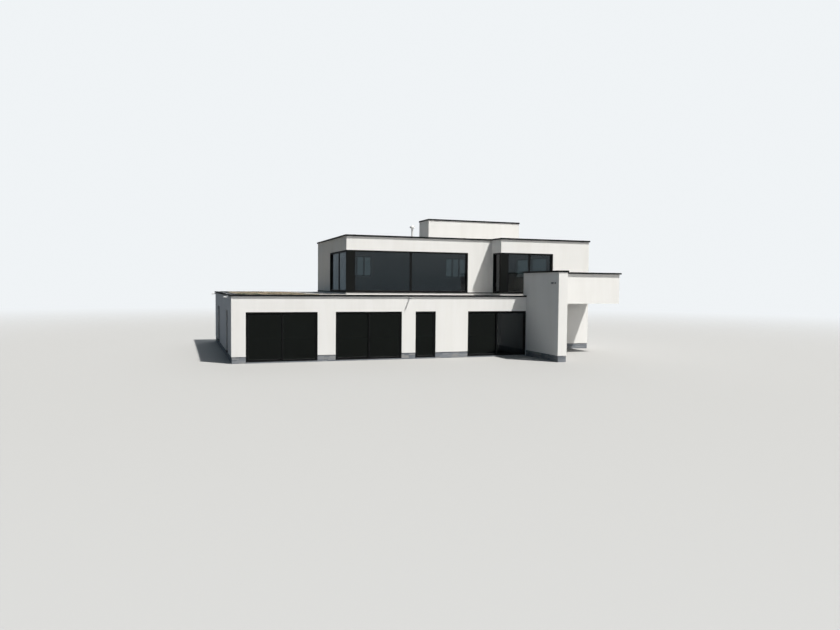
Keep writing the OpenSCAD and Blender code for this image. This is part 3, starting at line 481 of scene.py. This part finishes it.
def pane_glass(name, tint):
    """Solid tinted glass: full transmission, no roughness, with a wave of a few millimetres over a metre."""
    f = Finish(name, tint, 0.0)
    f.shader.inputs["Transmission Weight"].default_value = 1.0
    f.shader.inputs["IOR"].default_value = 1.85
    f.bump([(f.noise(0.9, 1.0), 0.004)])
    return f.material


glass = pane_glass("pane_glass", (0.17, 0.21, 0.22))
print(glass.name)

# %% [markdown]
# **Stone, concrete and floors.** The plinth is clad with thin courses of blue-grey stone, and the door sills are
# sawn from the same stone. Ceilings are painted slabs. Floors are large pale tiles, with a joint every 900 mm made by
# a Brick Texture node.

# %% Stone, ceiling and floor


def plinth_stone(name, by_piece):
    """Blue-grey stone: a tone for each stone where the mesh stores one, fine specks and a riven relief."""
    f = Finish(name, (0.25, 0.27, 0.29), 0.75)
    tone = f.attribute("tone") if by_piece else f.noise(3.0, 2.0)
    base = f.ramp(tone, [(0.0, (0.145, 0.162, 0.185)), (0.45, (0.215, 0.232, 0.255)),
                         (0.75, (0.265, 0.278, 0.292)), (1.0, (0.32, 0.315, 0.305))])
    specks = f.ramp(f.noise(60.0, 6.0, 0.7), [(0.35, (0.80,) * 3), (0.65, (1.08,) * 3)])
    f.colour(f.mixed(base, specks, 1.0, "MULTIPLY"))
    f.roughness(f.noise(25.0, 3.0), 0.62, 0.86)
    f.bump([(f.noise(30.0, 5.0, 0.65), 0.004 if by_piece else 0.0008), (f.noise(300.0, 2.0), 0.0004)])
    return f.material


def tiled_floor(name):
    """Pale tiles with 3 mm joints, each a little different."""
    f = Finish(name, (0.46, 0.42, 0.37), 0.35)
    brick = f.nodes.new("ShaderNodeTexBrick")
    brick.offset = 0.0
    for key, value in (("Scale", 1.0), ("Brick Width", 0.9), ("Row Height", 0.9), ("Mortar Size", 0.003)):
        brick.inputs[key].default_value = value
    brick.inputs["Color1"].default_value = (0.45, 0.41, 0.36, 1.0)
    brick.inputs["Color2"].default_value = (0.49, 0.45, 0.40, 1.0)
    brick.inputs["Mortar"].default_value = (0.25, 0.23, 0.21, 1.0)
    f.links.new(f.coords, brick.inputs["Vector"])
    veins = f.ramp(f.noise(5.0, 6.0, 0.65), [(0.35, (0.90,) * 3), (0.65, (1.0,) * 3)])
    f.colour(f.mixed(brick.outputs["Color"], veins, 1.0, "MULTIPLY"))
    f.bump([(brick.outputs["Fac"], -0.001)])
    return f.material


stone_laid = plinth_stone("plinth_stone", True)
stone_sawn = plinth_stone("sawn_stone", False)
ceiling_paint = render_finish("ceiling_paint", (0.78, 0.77, 0.75))
floor_tiles = tiled_floor("floor_tiles")
print("stone, ceiling and floor")

# %% [markdown]
# ** Roof gravel, plants and sheets.** Round pebbles of 16 to 32 mm hold down the roof. So many real pebbles would fill
# the memory, so Voronoi cells give each pebble its own grey or beige. The distance to the cell's middle gives it a
# rounded top, and also darkens its edge, which is painted shade in the gaps between pebbles. On the left part of the
# roof grows a mat of low plants, grey-green, straw and rosy after a dry summer.
# The lid of the roof box has bitumen sheets with mineral chips.

# %% Gravel and plants


def pebbles(name, lift=1.0):
    """Pebbles about 28 mm across: colour by cell times lift, painted shade in the gaps, rounded by the distance from
    the middle.
    """
    f = Finish(name, (0.36, 0.35, 0.33), 0.85)
    big = f.cells(36.0)
    tone = f.ramp(big.outputs["Color"], [(0.1, (0.26, 0.255, 0.25)), (0.45, (0.40, 0.39, 0.37)),
                                         (0.8, (0.52, 0.50, 0.46)), (1.0, (0.62, 0.61, 0.59))])
    # Painted shade: each pebble's colour darkens towards its cell's edge, as if the gaps between the pebbles lay in
    # shade
    painted_gap_shade = f.ramp(big.outputs["Distance"], [(0.35, (1.0,) * 3), (0.75, (0.35,) * 3)])
    drift = f.ramp(f.noise(0.5, 4.0), [(0.35, (0.90,) * 3), (0.65, (1.03,) * 3)])
    drift = f.mixed(drift, (lift,) * 3, 1.0, "MULTIPLY")
    f.colour(f.mixed(f.mixed(tone, painted_gap_shade, 1.0, "MULTIPLY"), drift, 1.0, "MULTIPLY"))
    f.bump([(big.outputs["Distance"], -0.020), (f.noise(1.2, 3.0), 0.02)])
    return f.material


def roof_plants(name):
    """Low plants: patches of grey-green, straw and rosy stalks, drawn out along the rolled mats, and flecks."""
    f = Finish(name, (0.26, 0.22, 0.16), 0.95)
    rolls = f.noise(1.7, 4.0, 0.6, f.stretched((1.0, 0.10, 1.0)))
    kinds = f.math("ADD", f.math("MULTIPLY", f.noise(2.6, 6.0, 0.72), 0.8), rolls)
    patch = f.ramp(f.math("SUBTRACT", kinds, 0.4), [(0.34, (0.075, 0.095, 0.055)), (0.43, (0.150, 0.155, 0.100)),
                                                    (0.50, (0.270, 0.215, 0.150)), (0.57, (0.430, 0.370, 0.270)),
                                                    (0.64, (0.230, 0.190, 0.120)), (0.72, (0.400, 0.210, 0.155))])
    shade = f.ramp(f.noise(2.2, 5.0, 0.7, f.stretched((1.0, 0.3, 0.0))), [(0.36, (0.55,) * 3), (0.62, (1.15,) * 3)])
    fleck = f.ramp(f.noise(26.0, 5.0, 0.7), [(0.30, (0.42, 0.42, 0.40)), (0.52, (1.0,) * 3),
                                             (0.70, (1.45, 1.35, 1.25))])
    f.colour(f.mixed(f.mixed(patch, shade, 1.0, "MULTIPLY"), fleck, 1.0, "MULTIPLY"))
    f.bump([(f.noise(45.0, 5.0, 0.7), 0.03)])
    return f.material


def roof_membrane(name):
    """Bitumen sheet with mineral chips: dark grey, faded in clouds, with a sandy relief."""
    f = Finish(name, (0.12, 0.12, 0.125), 0.9)
    faded = f.ramp(f.noise(0.9, 5.0, 0.6), [(0.35, (0.085, 0.087, 0.092)), (0.65, (0.150, 0.150, 0.150))])
    chips = f.ramp(f.cells(300.0).outputs["Color"], [(0.1, (0.75,) * 3), (0.9, (1.30,) * 3)])
    f.colour(f.mixed(faded, chips, 1.0, "MULTIPLY"))
    f.bump([(f.noise(500.0, 2.0), 0.001)])
    return f.material


gravel = pebbles("roof_pebbles")
pale_gravel = pebbles("pale_pebbles", 1.35)
plants = roof_plants("roof_plants")
membrane = roof_membrane("roof_membrane")
seal_rubber = Finish("seal_rubber", (0.012, 0.012, 0.013), 0.6)
seal_rubber.bump([(seal_rubber.noise(500.0, 2.0), 0.0001)])
seal_rubber.roughness(seal_rubber.noise(8.0, 2.0), 0.5, 0.7)
seal_rubber = seal_rubber.material
print("gravel, plants and rubber")

# %% [markdown]
# ## Finishes on the solids
# The solids stay exactly as they are, and each takes its finish as its only material. A table from the record's
# material slots to these finishes covers every node, so nothing is left plain.

# %% Give each solid its finish
finishes = {"render": render_white, "ceiling": ceiling_paint, "floor": floor_tiles, "stone": stone_sawn,
            "planted_mat": plants, "gravel": gravel, "coping": coping_metal, "frame": frame_metal,
            "post": post_metal, "glass": glass, "white_metal": white_metal, "camera_body": camera_case}
slot_of = {s["node"]: s["material_slot"] for s in frame["record"]["subparts"]}
for node, obj in frame["nodes"].items():
    obj.data.materials.clear()
    obj.data.materials.append(finishes[slot_of[node]])
print("finished", len(slot_of), "solids with", len(finishes), "finishes")

# %% [markdown]
# ## Plinth stones
# The plinth is faced with stones in five courses, of mixed lengths, each standing out a little differently. A brick
# pattern in the material would stay flat at the corners, so each stone is a small surface. All of them are one
# function of two parameters: across and up the stone, a plateau whose edges fall away to the joint. The plateau is
# the smaller of 1 and a steep ramp from the edge, one way times the other. The blocks of the solid plinth stay behind
# as the mortar.

# %% Lay the plinth stones


def lay_courses(low, high, out_axis, random, courses=5, joint=0.004):
    """Stones over one face of a plinth block, as rows of start, end, bottom and top."""
    shortest, longest, smallest_rest = 0.17, 0.46, 0.12
    along = 1 - out_axis
    length = high[along] - low[along]
    step = (high[2] - low[2]) / courses
    rows = []
    for k in range(courses):
        cuts = np.cumsum(random.uniform(shortest, longest, int(length / shortest) + 2))
        cuts = np.concatenate([[0.0], cuts[cuts < length - smallest_rest], [length]])
        start, end = cuts[:-1] + joint / 2, cuts[1:] - joint / 2
        bottom = np.full(len(start), low[2] + k * step + joint / 2)
        top = np.full(len(start), low[2] + (k + 1) * step - joint / 2)
        rows.append(np.stack([start + low[along], end + low[along], bottom, top], axis=1))
    return np.concatenate(rows)


across_stone, up_stone = np.array([0.0, 0.03, 0.5, 0.97, 1.0]), np.array([0.0, 0.10, 0.90, 1.0])
points_each = len(across_stone) * len(up_stone)


def stone_points(stones, face, out_axis, out_sign, relief):
    """Grid of points on each stone: p(u, v) is its corner + u times its length + v times its height, and stands out
    by relief * plateau(u) * plateau(v)."""
    u, steep_u = across_stone, 12
    v, steep_v = up_stone, 9
    plateau = np.minimum(1, steep_u * np.minimum(u, 1 - u))[:, None] * np.minimum(1, steep_v * np.minimum(v, 1 - v))
    points = np.zeros((len(stones), len(u), len(v), 3))
    points[..., 1 - out_axis] = (stones[:, 0, None] + (stones[:, 1] - stones[:, 0])[:, None] * u)[:, :, None]
    points[..., 2] = (stones[:, 2, None] + (stones[:, 3] - stones[:, 2])[:, None] * v)[:, None, :]
    points[..., out_axis] = face + out_sign * (0.0005 + relief[:, None, None] * plateau[None])
    return points


random = np.random.default_rng(7)
front_part, porch_part = 7.0, 16.9
all_points, all_faces, tones, count = [], [], [], 0
for low, high in solid_boxes("plinth"):
    size = high - low
    out_axis = int(np.argmin(size[:2]))
    middle = (low + high) / 2 - corner
    if out_axis == 1:
        out_sign = -1 if middle[1] < front_part else 1
    else:
        out_sign = -1 if middle[0] < porch_part else 1
    stones = lay_courses(low, high, out_axis, random)
    relief = random.uniform(0.004, 0.013, len(stones))
    face = low[out_axis] if out_sign < 0 else high[out_axis]
    points = stone_points(stones, face, out_axis, out_sign, relief)
    quads = grid_faces(len(across_stone), len(up_stone), len(stones))
    if (out_axis == 1) == (out_sign > 0):
        quads = quads[:, ::-1]
    all_points.append(points.reshape(-1, 3))
    all_faces.append(quads + count)
    tones.append(np.repeat(random.uniform(0.0, 1.0, len(stones)), points_each))
    count += len(stones) * points_each
stone_piece = piece("plinth_stones", np.concatenate(all_points), np.concatenate(all_faces), "house", stone_laid,
                    "stone")
tone = stone_piece.data.attributes.new("tone", "FLOAT", "POINT")
tone.data.foreach_set("value", np.concatenate(tones).astype(np.float32))
print("stones laid:", count // points_each)

# %% [markdown]
# ## Plants on the roof
# The plants grow on the left part of the mat. Single plants with all their leaves would be far too many, so they are a
# height field: the height is a sum of smooth random fields with mounds of 500, 150 and 60 mm.

# %% Grow the roof plants
lattice_n, field_shift = 64, 4.0


def smooth_field(x, y, cell, seed):
    """Random values on a lattice of that cell, blended by 3t^2 - 2t^3 between lattice points, from 0 to 1."""
    lattice = np.random.default_rng(seed).random((lattice_n, lattice_n))
    i, j = np.floor(x / cell).astype(int), np.floor(y / cell).astype(int)
    s, t = x / cell - i, y / cell - j
    s, t = s * s * (3 - 2 * s), t * t * (3 - 2 * t)

    def pick(a, b):
        return lattice[(i + a) % lattice_n, (j + b) % lattice_n]

    return (pick(0, 0) * (1 - s) + pick(1, 0) * s) * (1 - t) + (pick(0, 1) * (1 - s) + pick(1, 1) * s) * t


def plant_height(x, y):
    """Height of the plants over the mat, in metres, at places measured from the front corner. The shift keeps the
    places on the lattice's positive side."""
    x, y = x + field_shift, y + field_shift
    return (0.004 + 0.038 * smooth_field(x, y, 0.5, 1) ** 1.4 + 0.018 * smooth_field(x, y, 0.15, 2)
            + 0.010 * smooth_field(x, y, 0.06, 3))


def height_field(name, x_range, y_range, nx, ny, height, skirt, finish, slot):
    """A surface z = height(x, y) over a rectangle, whose outermost points drop to the height `skirt`."""
    x, y = np.meshgrid(np.linspace(*x_range, nx), np.linspace(*y_range, ny), indexing="ij")
    z = height(x - corner[0], y - corner[1])
    z[[0, -1], :] = skirt
    z[:, [0, -1]] = skirt
    points = np.stack([x, y, z], axis=-1).reshape(-1, 3)
    return piece(name, points, grid_faces(nx, ny), "house", finish, slot, smooth=True)


mat_low, mat_high = (np.array(v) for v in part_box("roof_mat"))
gravel_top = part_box("roof_gravel")[1].z
wall_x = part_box("upper_piers")[0].x
plants_end = corner[0] + 4.66
mat_depth = (mat_low[1] - 0.004, mat_high[1] + 0.004)
height_field("planted_mat", (mat_low[0] - 0.004, plants_end), mat_depth, 80, 240,
             lambda x, y: mat_high[2] + plant_height(x, y), gravel_top, plants, "planted_mat")

# %% [markdown]
# ## Pebbles beside the upper storey
# Next to the wall the mat is covered with pale pebbles up to the coping's height, which keep roots and splashes off
# the wall. They could share the gravel's material alone, but seen along the roof their height is what shows. So they
# are a second height field, whose skirt falls to the gravel.

# %% Lay the pale pebbles
upper_front, slope_start, pebble_bed = 3.0, 0.3, 0.034


def pebble_height(x, y):
    """Just under the coping's top with low waves. In front of the upper storey they slope down to the gravel."""
    field_x, field_y = x + field_shift, y + field_shift
    waves = 0.012 * smooth_field(field_x, field_y, 0.6, 6) + 0.010 * smooth_field(field_x, field_y, 0.05, 7)
    level = mat_high[2] + pebble_bed + waves
    past_mat = np.clip((x + corner[0] - mat_high[0]) / (wall_x - mat_high[0]), 0, 1)
    in_front = np.clip((upper_front - y) / slope_start, 0, 1)
    return level - (level - gravel_top) * past_mat * in_front


height_field("pebble_border", (plants_end - 0.03, wall_x - 0.002), mat_depth, 72, 440, pebble_height, gravel_top,
             pale_gravel, "gravel")

# %% [markdown]
# ## Tufts
# Thousands of small tufts break up the plants' edge against the backdrop. Hair would do it too, but it doesn't export
# as a mesh. Each tuft is three leaning blades, and a blade is one triangle: a root that is 0.45 of its height wide,
# and a tip that leans by 0.55 of it.

# %% Set the tufts
n_tufts, blades_each, turn_between = 5200, 3, 2.1
blade_width, blade_lean, sunk = 0.45, 0.55, 0.01
random = np.random.default_rng(11)
tx = random.uniform(mat_low[0] + 0.02, plants_end - 0.04, n_tufts)
ty = random.uniform(mat_low[1] + 0.02, mat_high[1] - 0.02, n_tufts)
tz = mat_high[2] + plant_height(tx - corner[0], ty - corner[1])
lush = 0.6 + 0.8 * smooth_field(tx - corner[0] + field_shift, ty - corner[1] + field_shift, 0.9, 5)
tall = random.uniform(0.015, 0.045, n_tufts) * lush
turn_by = random.uniform(0, 2 * math.pi, n_tufts)[:, None] + np.arange(blades_each) * turn_between
wide = blade_width * tall[:, None]
root = np.stack([tx, ty, tz - sunk], axis=1)[:, None, :]
side = np.stack([np.cos(turn_by), np.sin(turn_by), 0 * turn_by], axis=-1)
lean_to = np.stack([-np.sin(turn_by), np.cos(turn_by), 0 * turn_by], axis=-1) * (blade_lean * tall)[:, None, None]
tip = root + lean_to + np.array([0, 0, 1.0]) * tall[:, None, None]
blades = np.stack([root - side * wide[..., None] / 2, root + side * wide[..., None] / 2, tip], axis=2)
blade_points = blades.reshape(-1, 3)
piece("plant_tufts", blade_points, np.arange(len(blade_points)).reshape(-1, 3), "house", plants, "planted_mat")

# %% [markdown]
# ## Sheets on the roof box
# The roof box is too small for gravel. Its lid is covered with bitumen sheets a metre wide, each lapped 100 mm over
# the last, so the surface rises by a sheet's thickness at every lap. Separate sheets would lie half a millimetre apart
# and flicker, so all of them are one grid with a step at each lap. The lid is the second highest level of the solid.

# %% Lay the sheets
sheet_wide, lap, sheet_thick, dip_high = 1.0, 0.105, 0.004, 0.003
box_points = node_points("roof_box").astype(float)
lid_z = np.unique(box_points[:, 2].round(3))[-2]
lid = box_points[np.abs(box_points[:, 2] - lid_z) < 0.002]
lid_low, lid_high = lid[:, :2].min(axis=0) + 0.001, lid[:, :2].max(axis=0) - 0.001
along_lid = np.unique(np.concatenate([np.arange(lid_low[0], lid_high[0], 0.1),
                                      np.arange(lid_low[0] + sheet_wide, lid_high[0], sheet_wide) - 0.012,
                                      [lid_high[0]]]))
over_lid = np.linspace(lid_low[1], lid_high[1], 20)
sx, sy = np.meshgrid(along_lid, over_lid, indexing="ij")
lapped = ((sx - lid_low[0]) % sheet_wide) < lap
sheet_rise = sheet_thick * lapped + dip_high * smooth_field(sx - lid_low[0], sy - lid_low[1], 0.3, 9)
piece("box_roof_sheets", np.stack([sx, sy, lid_z + 0.002 + sheet_rise], axis=-1).reshape(-1, 3),
      grid_faces(len(along_lid), len(over_lid)), "house", membrane, "coping")
print("lid", (lid_high - lid_low).round(2), "m at", round(float(lid_z), 3))

# %% [markdown]
# ## Seals round the glass
# Each pane sits in a groove, held by black rubber seals that show as a thin line round it on both faces. Four bars a
# pane would cut through each other at the corners. So a seal is a rounded profile carried round the rectangle where
# the frame ends. At a corner the profile runs along the diagonal, and the four sides meet in mitres by themselves.

# %% Seals


def seal_rings(node, bite=0.0147, wide=0.007, proud=0.004):
    """Rubber seals on both faces of each pane of a node, as points and quads. A profile point (a, h) lies a inside
    the frame's edge and h out from the glass, at each of the four corners in turn."""
    edge = -0.001
    profile = np.array([[edge, 0.0], [edge, proud], [0.6 * wide, proud], [wide, 0.4 * proud], [wide, 0.0]])
    turns = np.array([[-1, -1], [1, -1], [1, 1], [-1, 1]])
    points, faces, start = [], [], 0
    for low, high in solid_boxes(node):
        thin = int(np.argmin((high - low)[:2]))
        along = 1 - thin
        middle, half = (low + high) / 2, (high - low) / 2
        for sign in (-1, 1):
            ring = np.zeros((4, len(profile), 3))
            inset = profile[None, :, 0] + bite
            ring[..., along] = middle[along] + turns[:, None, 0] * (half[along] - inset)
            ring[..., 2] = middle[2] + turns[:, None, 1] * (half[2] - inset)
            ring[..., thin] = middle[thin] + sign * (half[thin] + profile[None, :, 1])
            quads = grid_faces(4, len(profile), wrap=True)
            flip = (sign < 0) == (thin == 1)
            points.append(ring.reshape(-1, 3))
            faces.append((quads if flip else quads[:, ::-1]) + start)
            start += ring.size // 3
    return np.concatenate(points), np.concatenate(faces)


piece("ground_seals", *seal_rings("ground_glass"), "house", seal_rubber, "frame")
piece("upper_seals", *seal_rings("upper_glass"), "house", seal_rubber, "frame")
for k in (1, 2, 3):
    piece(f"sliding_seals_{k}", *seal_rings(f"sliding_glass_{k}"), f"terrace_leaf_{k}", seal_rubber, "frame")
piece("garden_door_seals", *seal_rings("garden_door_glass"), "garden_door", seal_rubber, "frame")

# %% [markdown]
# ## Straps over the coping joints
# A coping comes in lengths of about 3.4 m, and the sun would lift one long sheet off the roof. So the lengths are laid
# with open joints, and a short strap of the same metal, pressed over the coping, covers each joint. A joint is where
# one solid of a coping ends and the next begins about 6 mm further. Comparing the boxes of the solids finds them all,
# also after the lengths have changed, which a list of places typed by hand would not.

# %% Find the joints


def joints_of(node, gap=(0.003, 0.009), least_wide=0.15):
    """Joints between the solids of a coping: (axis along it, middle of the joint, low and high across it, top)."""
    boxes = solid_boxes(node)
    found = []
    for a in boxes:
        for b in boxes:
            for along in (0, 1):
                side = 1 - along
                start, end = max(a[0][side], b[0][side]), min(a[1][side], b[1][side])
                if gap[0] < b[0][along] - a[1][along] < gap[1] and end - start > least_wide:
                    found.append((along, (a[1][along] + b[0][along]) / 2, start, end, a[1][2]))
    return found


print("joints in the lower coping:", len(joints_of("ground_coping")))

# %% [markdown]
# The strap is the coping's own cross-section, a little larger, carried 150 mm along the coping. A sheet with a
# Solidify modifier would do, but both of its skins are soon written down, and so the long leg on the outside and the
# short leg towards the roof each get their own length.

# %% Fold the straps


def strap(along, middle, start, end, top, drop_start, drop_end, wide=0.15, proud=0.0045, sheet=0.0015):
    """One strap: an outer and an inner path over the coping, as (across, height) points, at both ends of its width.
    drop_start and drop_end are how far it reaches down at the start and the end of the coping's cross-section."""
    soft = 0.3

    def path(out):
        return np.array([[start - out, top - drop_start], [start - out, top + out * soft],
                         [start - out * soft, top + out], [end + out * soft, top + out],
                         [end + out, top + out * soft], [end + out, top - drop_end]])

    loop = np.concatenate([path(proud), path(proud - sheet)[::-1]])
    points = np.zeros((2, len(loop), 3))
    points[:, :, along] = np.array([middle - wide / 2, middle + wide / 2])[:, None]
    points[:, :, 1 - along] = loop[None, :, 0]
    points[:, :, 2] = loop[None, :, 1]
    n = len(loop)
    i = np.arange(n)
    sides = np.stack([i, (i + 1) % n, (i + 1) % n + n, i + n], axis=1)
    k = np.arange(n // 2 - 1)
    caps = np.stack([k, n - 1 - k, n - 2 - k, k + 1], axis=1)
    quads = np.concatenate([sides, caps, caps[:, ::-1] + n])
    return points.reshape(-1, 3), quads if along == 0 else quads[:, ::-1]


long_leg, short_leg, front_strip = 0.094, 0.056, 0.4
strap_points, strap_faces, count = [], [], 0
for node in ("ground_coping", "upper_coping", "box_coping", "canopy_coping"):
    node_low, node_high = (np.array(v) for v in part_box(node))
    for along, middle, start, end, top in joints_of(node):
        side = 1 - along
        if node != "canopy_coping":
            outside_first = (start + end) < (node_low[side] + node_high[side])
            drops = (long_leg, short_leg) if outside_first else (short_leg, long_leg)
        elif along == 1 and middle < corner[1] + front_strip:
            drops = (long_leg, long_leg)
        else:
            drops = (long_leg, short_leg) if along == 0 else (short_leg, long_leg)
        points, quads = strap(along, middle, start, end, top, *drops)
        strap_points.append(points)
        strap_faces.append(quads + count)
        count += len(points)
piece("coping_straps", np.concatenate(strap_points), np.concatenate(strap_faces), "house", coping_metal, "coping")
print("straps:", len(strap_points))

# %% [markdown]
# ## Floor of the studio
# A wide pale floor takes the shadow of the house. A plain disc would end in a hard horizon, so it is an ordinary matt
# surface close to the house and fades into the backdrop further out. The fade is the distance from the middle,
# measured in the floor's own coordinates. For rays that carry light, the floor is a quieter grey, so that it doesn't
# light the shaded walls too much: dark on the left and lighter in front and on the right.

# %% Studio floor


def studio_floor(radius=260.0, sides=96):
    """A disc of one ring of points round a middle point, just under the house."""
    angle = np.linspace(0, 2 * math.pi, sides, endpoint=False)
    ring = np.stack([radius * np.cos(angle), radius * np.sin(angle), 0 * angle], axis=1)
    k = np.arange(sides)
    mesh = bpy.data.meshes.new("studio_floor")
    mesh.from_pydata(np.vstack([np.zeros(3), ring]).tolist(), [],
                     np.stack([0 * k, 1 + k, 1 + (k + 1) % sides], axis=1).tolist())
    floor = bpy.data.objects.new("studio_floor", mesh)
    floor.location.z = -0.002
    bpy.context.scene.collection.objects.link(floor)
    floor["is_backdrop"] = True
    return floor


def floor_finish():
    """Pale matt floor for direct sight, darker for light rays and for gloss, fading to the backdrop far out."""
    f = Finish("studio_floor", (0.41, 0.405, 0.395), 0.95)
    f.shader.inputs["Specular IOR Level"].default_value = 0.1
    far = f.nodes.new("ShaderNodeVectorMath")
    far.operation = "LENGTH"
    f.links.new(f.coords, far.inputs[0])
    fade = f.nodes.new("ShaderNodeMapRange")
    fade.interpolation_type = "SMOOTHSTEP"
    fade.inputs["From Min"].default_value = 20.0
    fade.inputs["From Max"].default_value = 90.0
    f.links.new(far.outputs["Value"], fade.inputs["Value"])
    glow = f.nodes.new("ShaderNodeEmission")
    glow.inputs["Color"].default_value = backdrop_colour
    quiet = f.nodes.new("ShaderNodeBsdfDiffuse")
    parts = f.nodes.new("ShaderNodeSeparateXYZ")
    f.links.new(f.coords, parts.inputs[0])
    rightwards = f.nodes.new("ShaderNodeMapRange")
    rightwards.interpolation_type = "SMOOTHSTEP"
    rightwards.inputs["From Min"].default_value = -14.0
    rightwards.inputs["From Max"].default_value = 6.0
    f.links.new(parts.outputs["X"], rightwards.inputs["Value"])
    tone = f.ramp(rightwards.outputs["Result"], [(0.0, (0.110, 0.112, 0.122)), (1.0, (0.205,) * 3)])
    f.links.new(tone, quiet.inputs["Color"])
    light_path = f.nodes.new("ShaderNodeLightPath")
    faded, chosen = f.nodes.new("ShaderNodeMixShader"), f.nodes.new("ShaderNodeMixShader")
    f.links.new(fade.outputs["Result"], faded.inputs[0])
    f.links.new(f.shader.outputs[0], faded.inputs[1])
    f.links.new(glow.outputs[0], faded.inputs[2])
    f.links.new(seen_directly(f.nodes, f.links, light_path, 0.0), chosen.inputs[0])
    f.links.new(quiet.outputs[0], chosen.inputs[1])
    f.links.new(faded.outputs[0], chosen.inputs[2])
    mirrored, in_gloss = f.nodes.new("ShaderNodeBsdfDiffuse"), f.nodes.new("ShaderNodeMixShader")
    mirrored.inputs["Color"].default_value = (0.055, 0.060, 0.055, 1.0)
    f.links.new(light_path.outputs["Is Glossy Ray"], in_gloss.inputs[0])
    f.links.new(chosen.outputs[0], in_gloss.inputs[1])
    f.links.new(mirrored.outputs[0], in_gloss.inputs[2])
    f.links.new(in_gloss.outputs[0], f.nodes["Material Output"].inputs["Surface"])
    return f.material


floor = studio_floor()
floor.data.materials.append(floor_finish())
print("floor", round(floor.dimensions.x), "m across")

# %% Size of the dressed house
low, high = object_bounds()
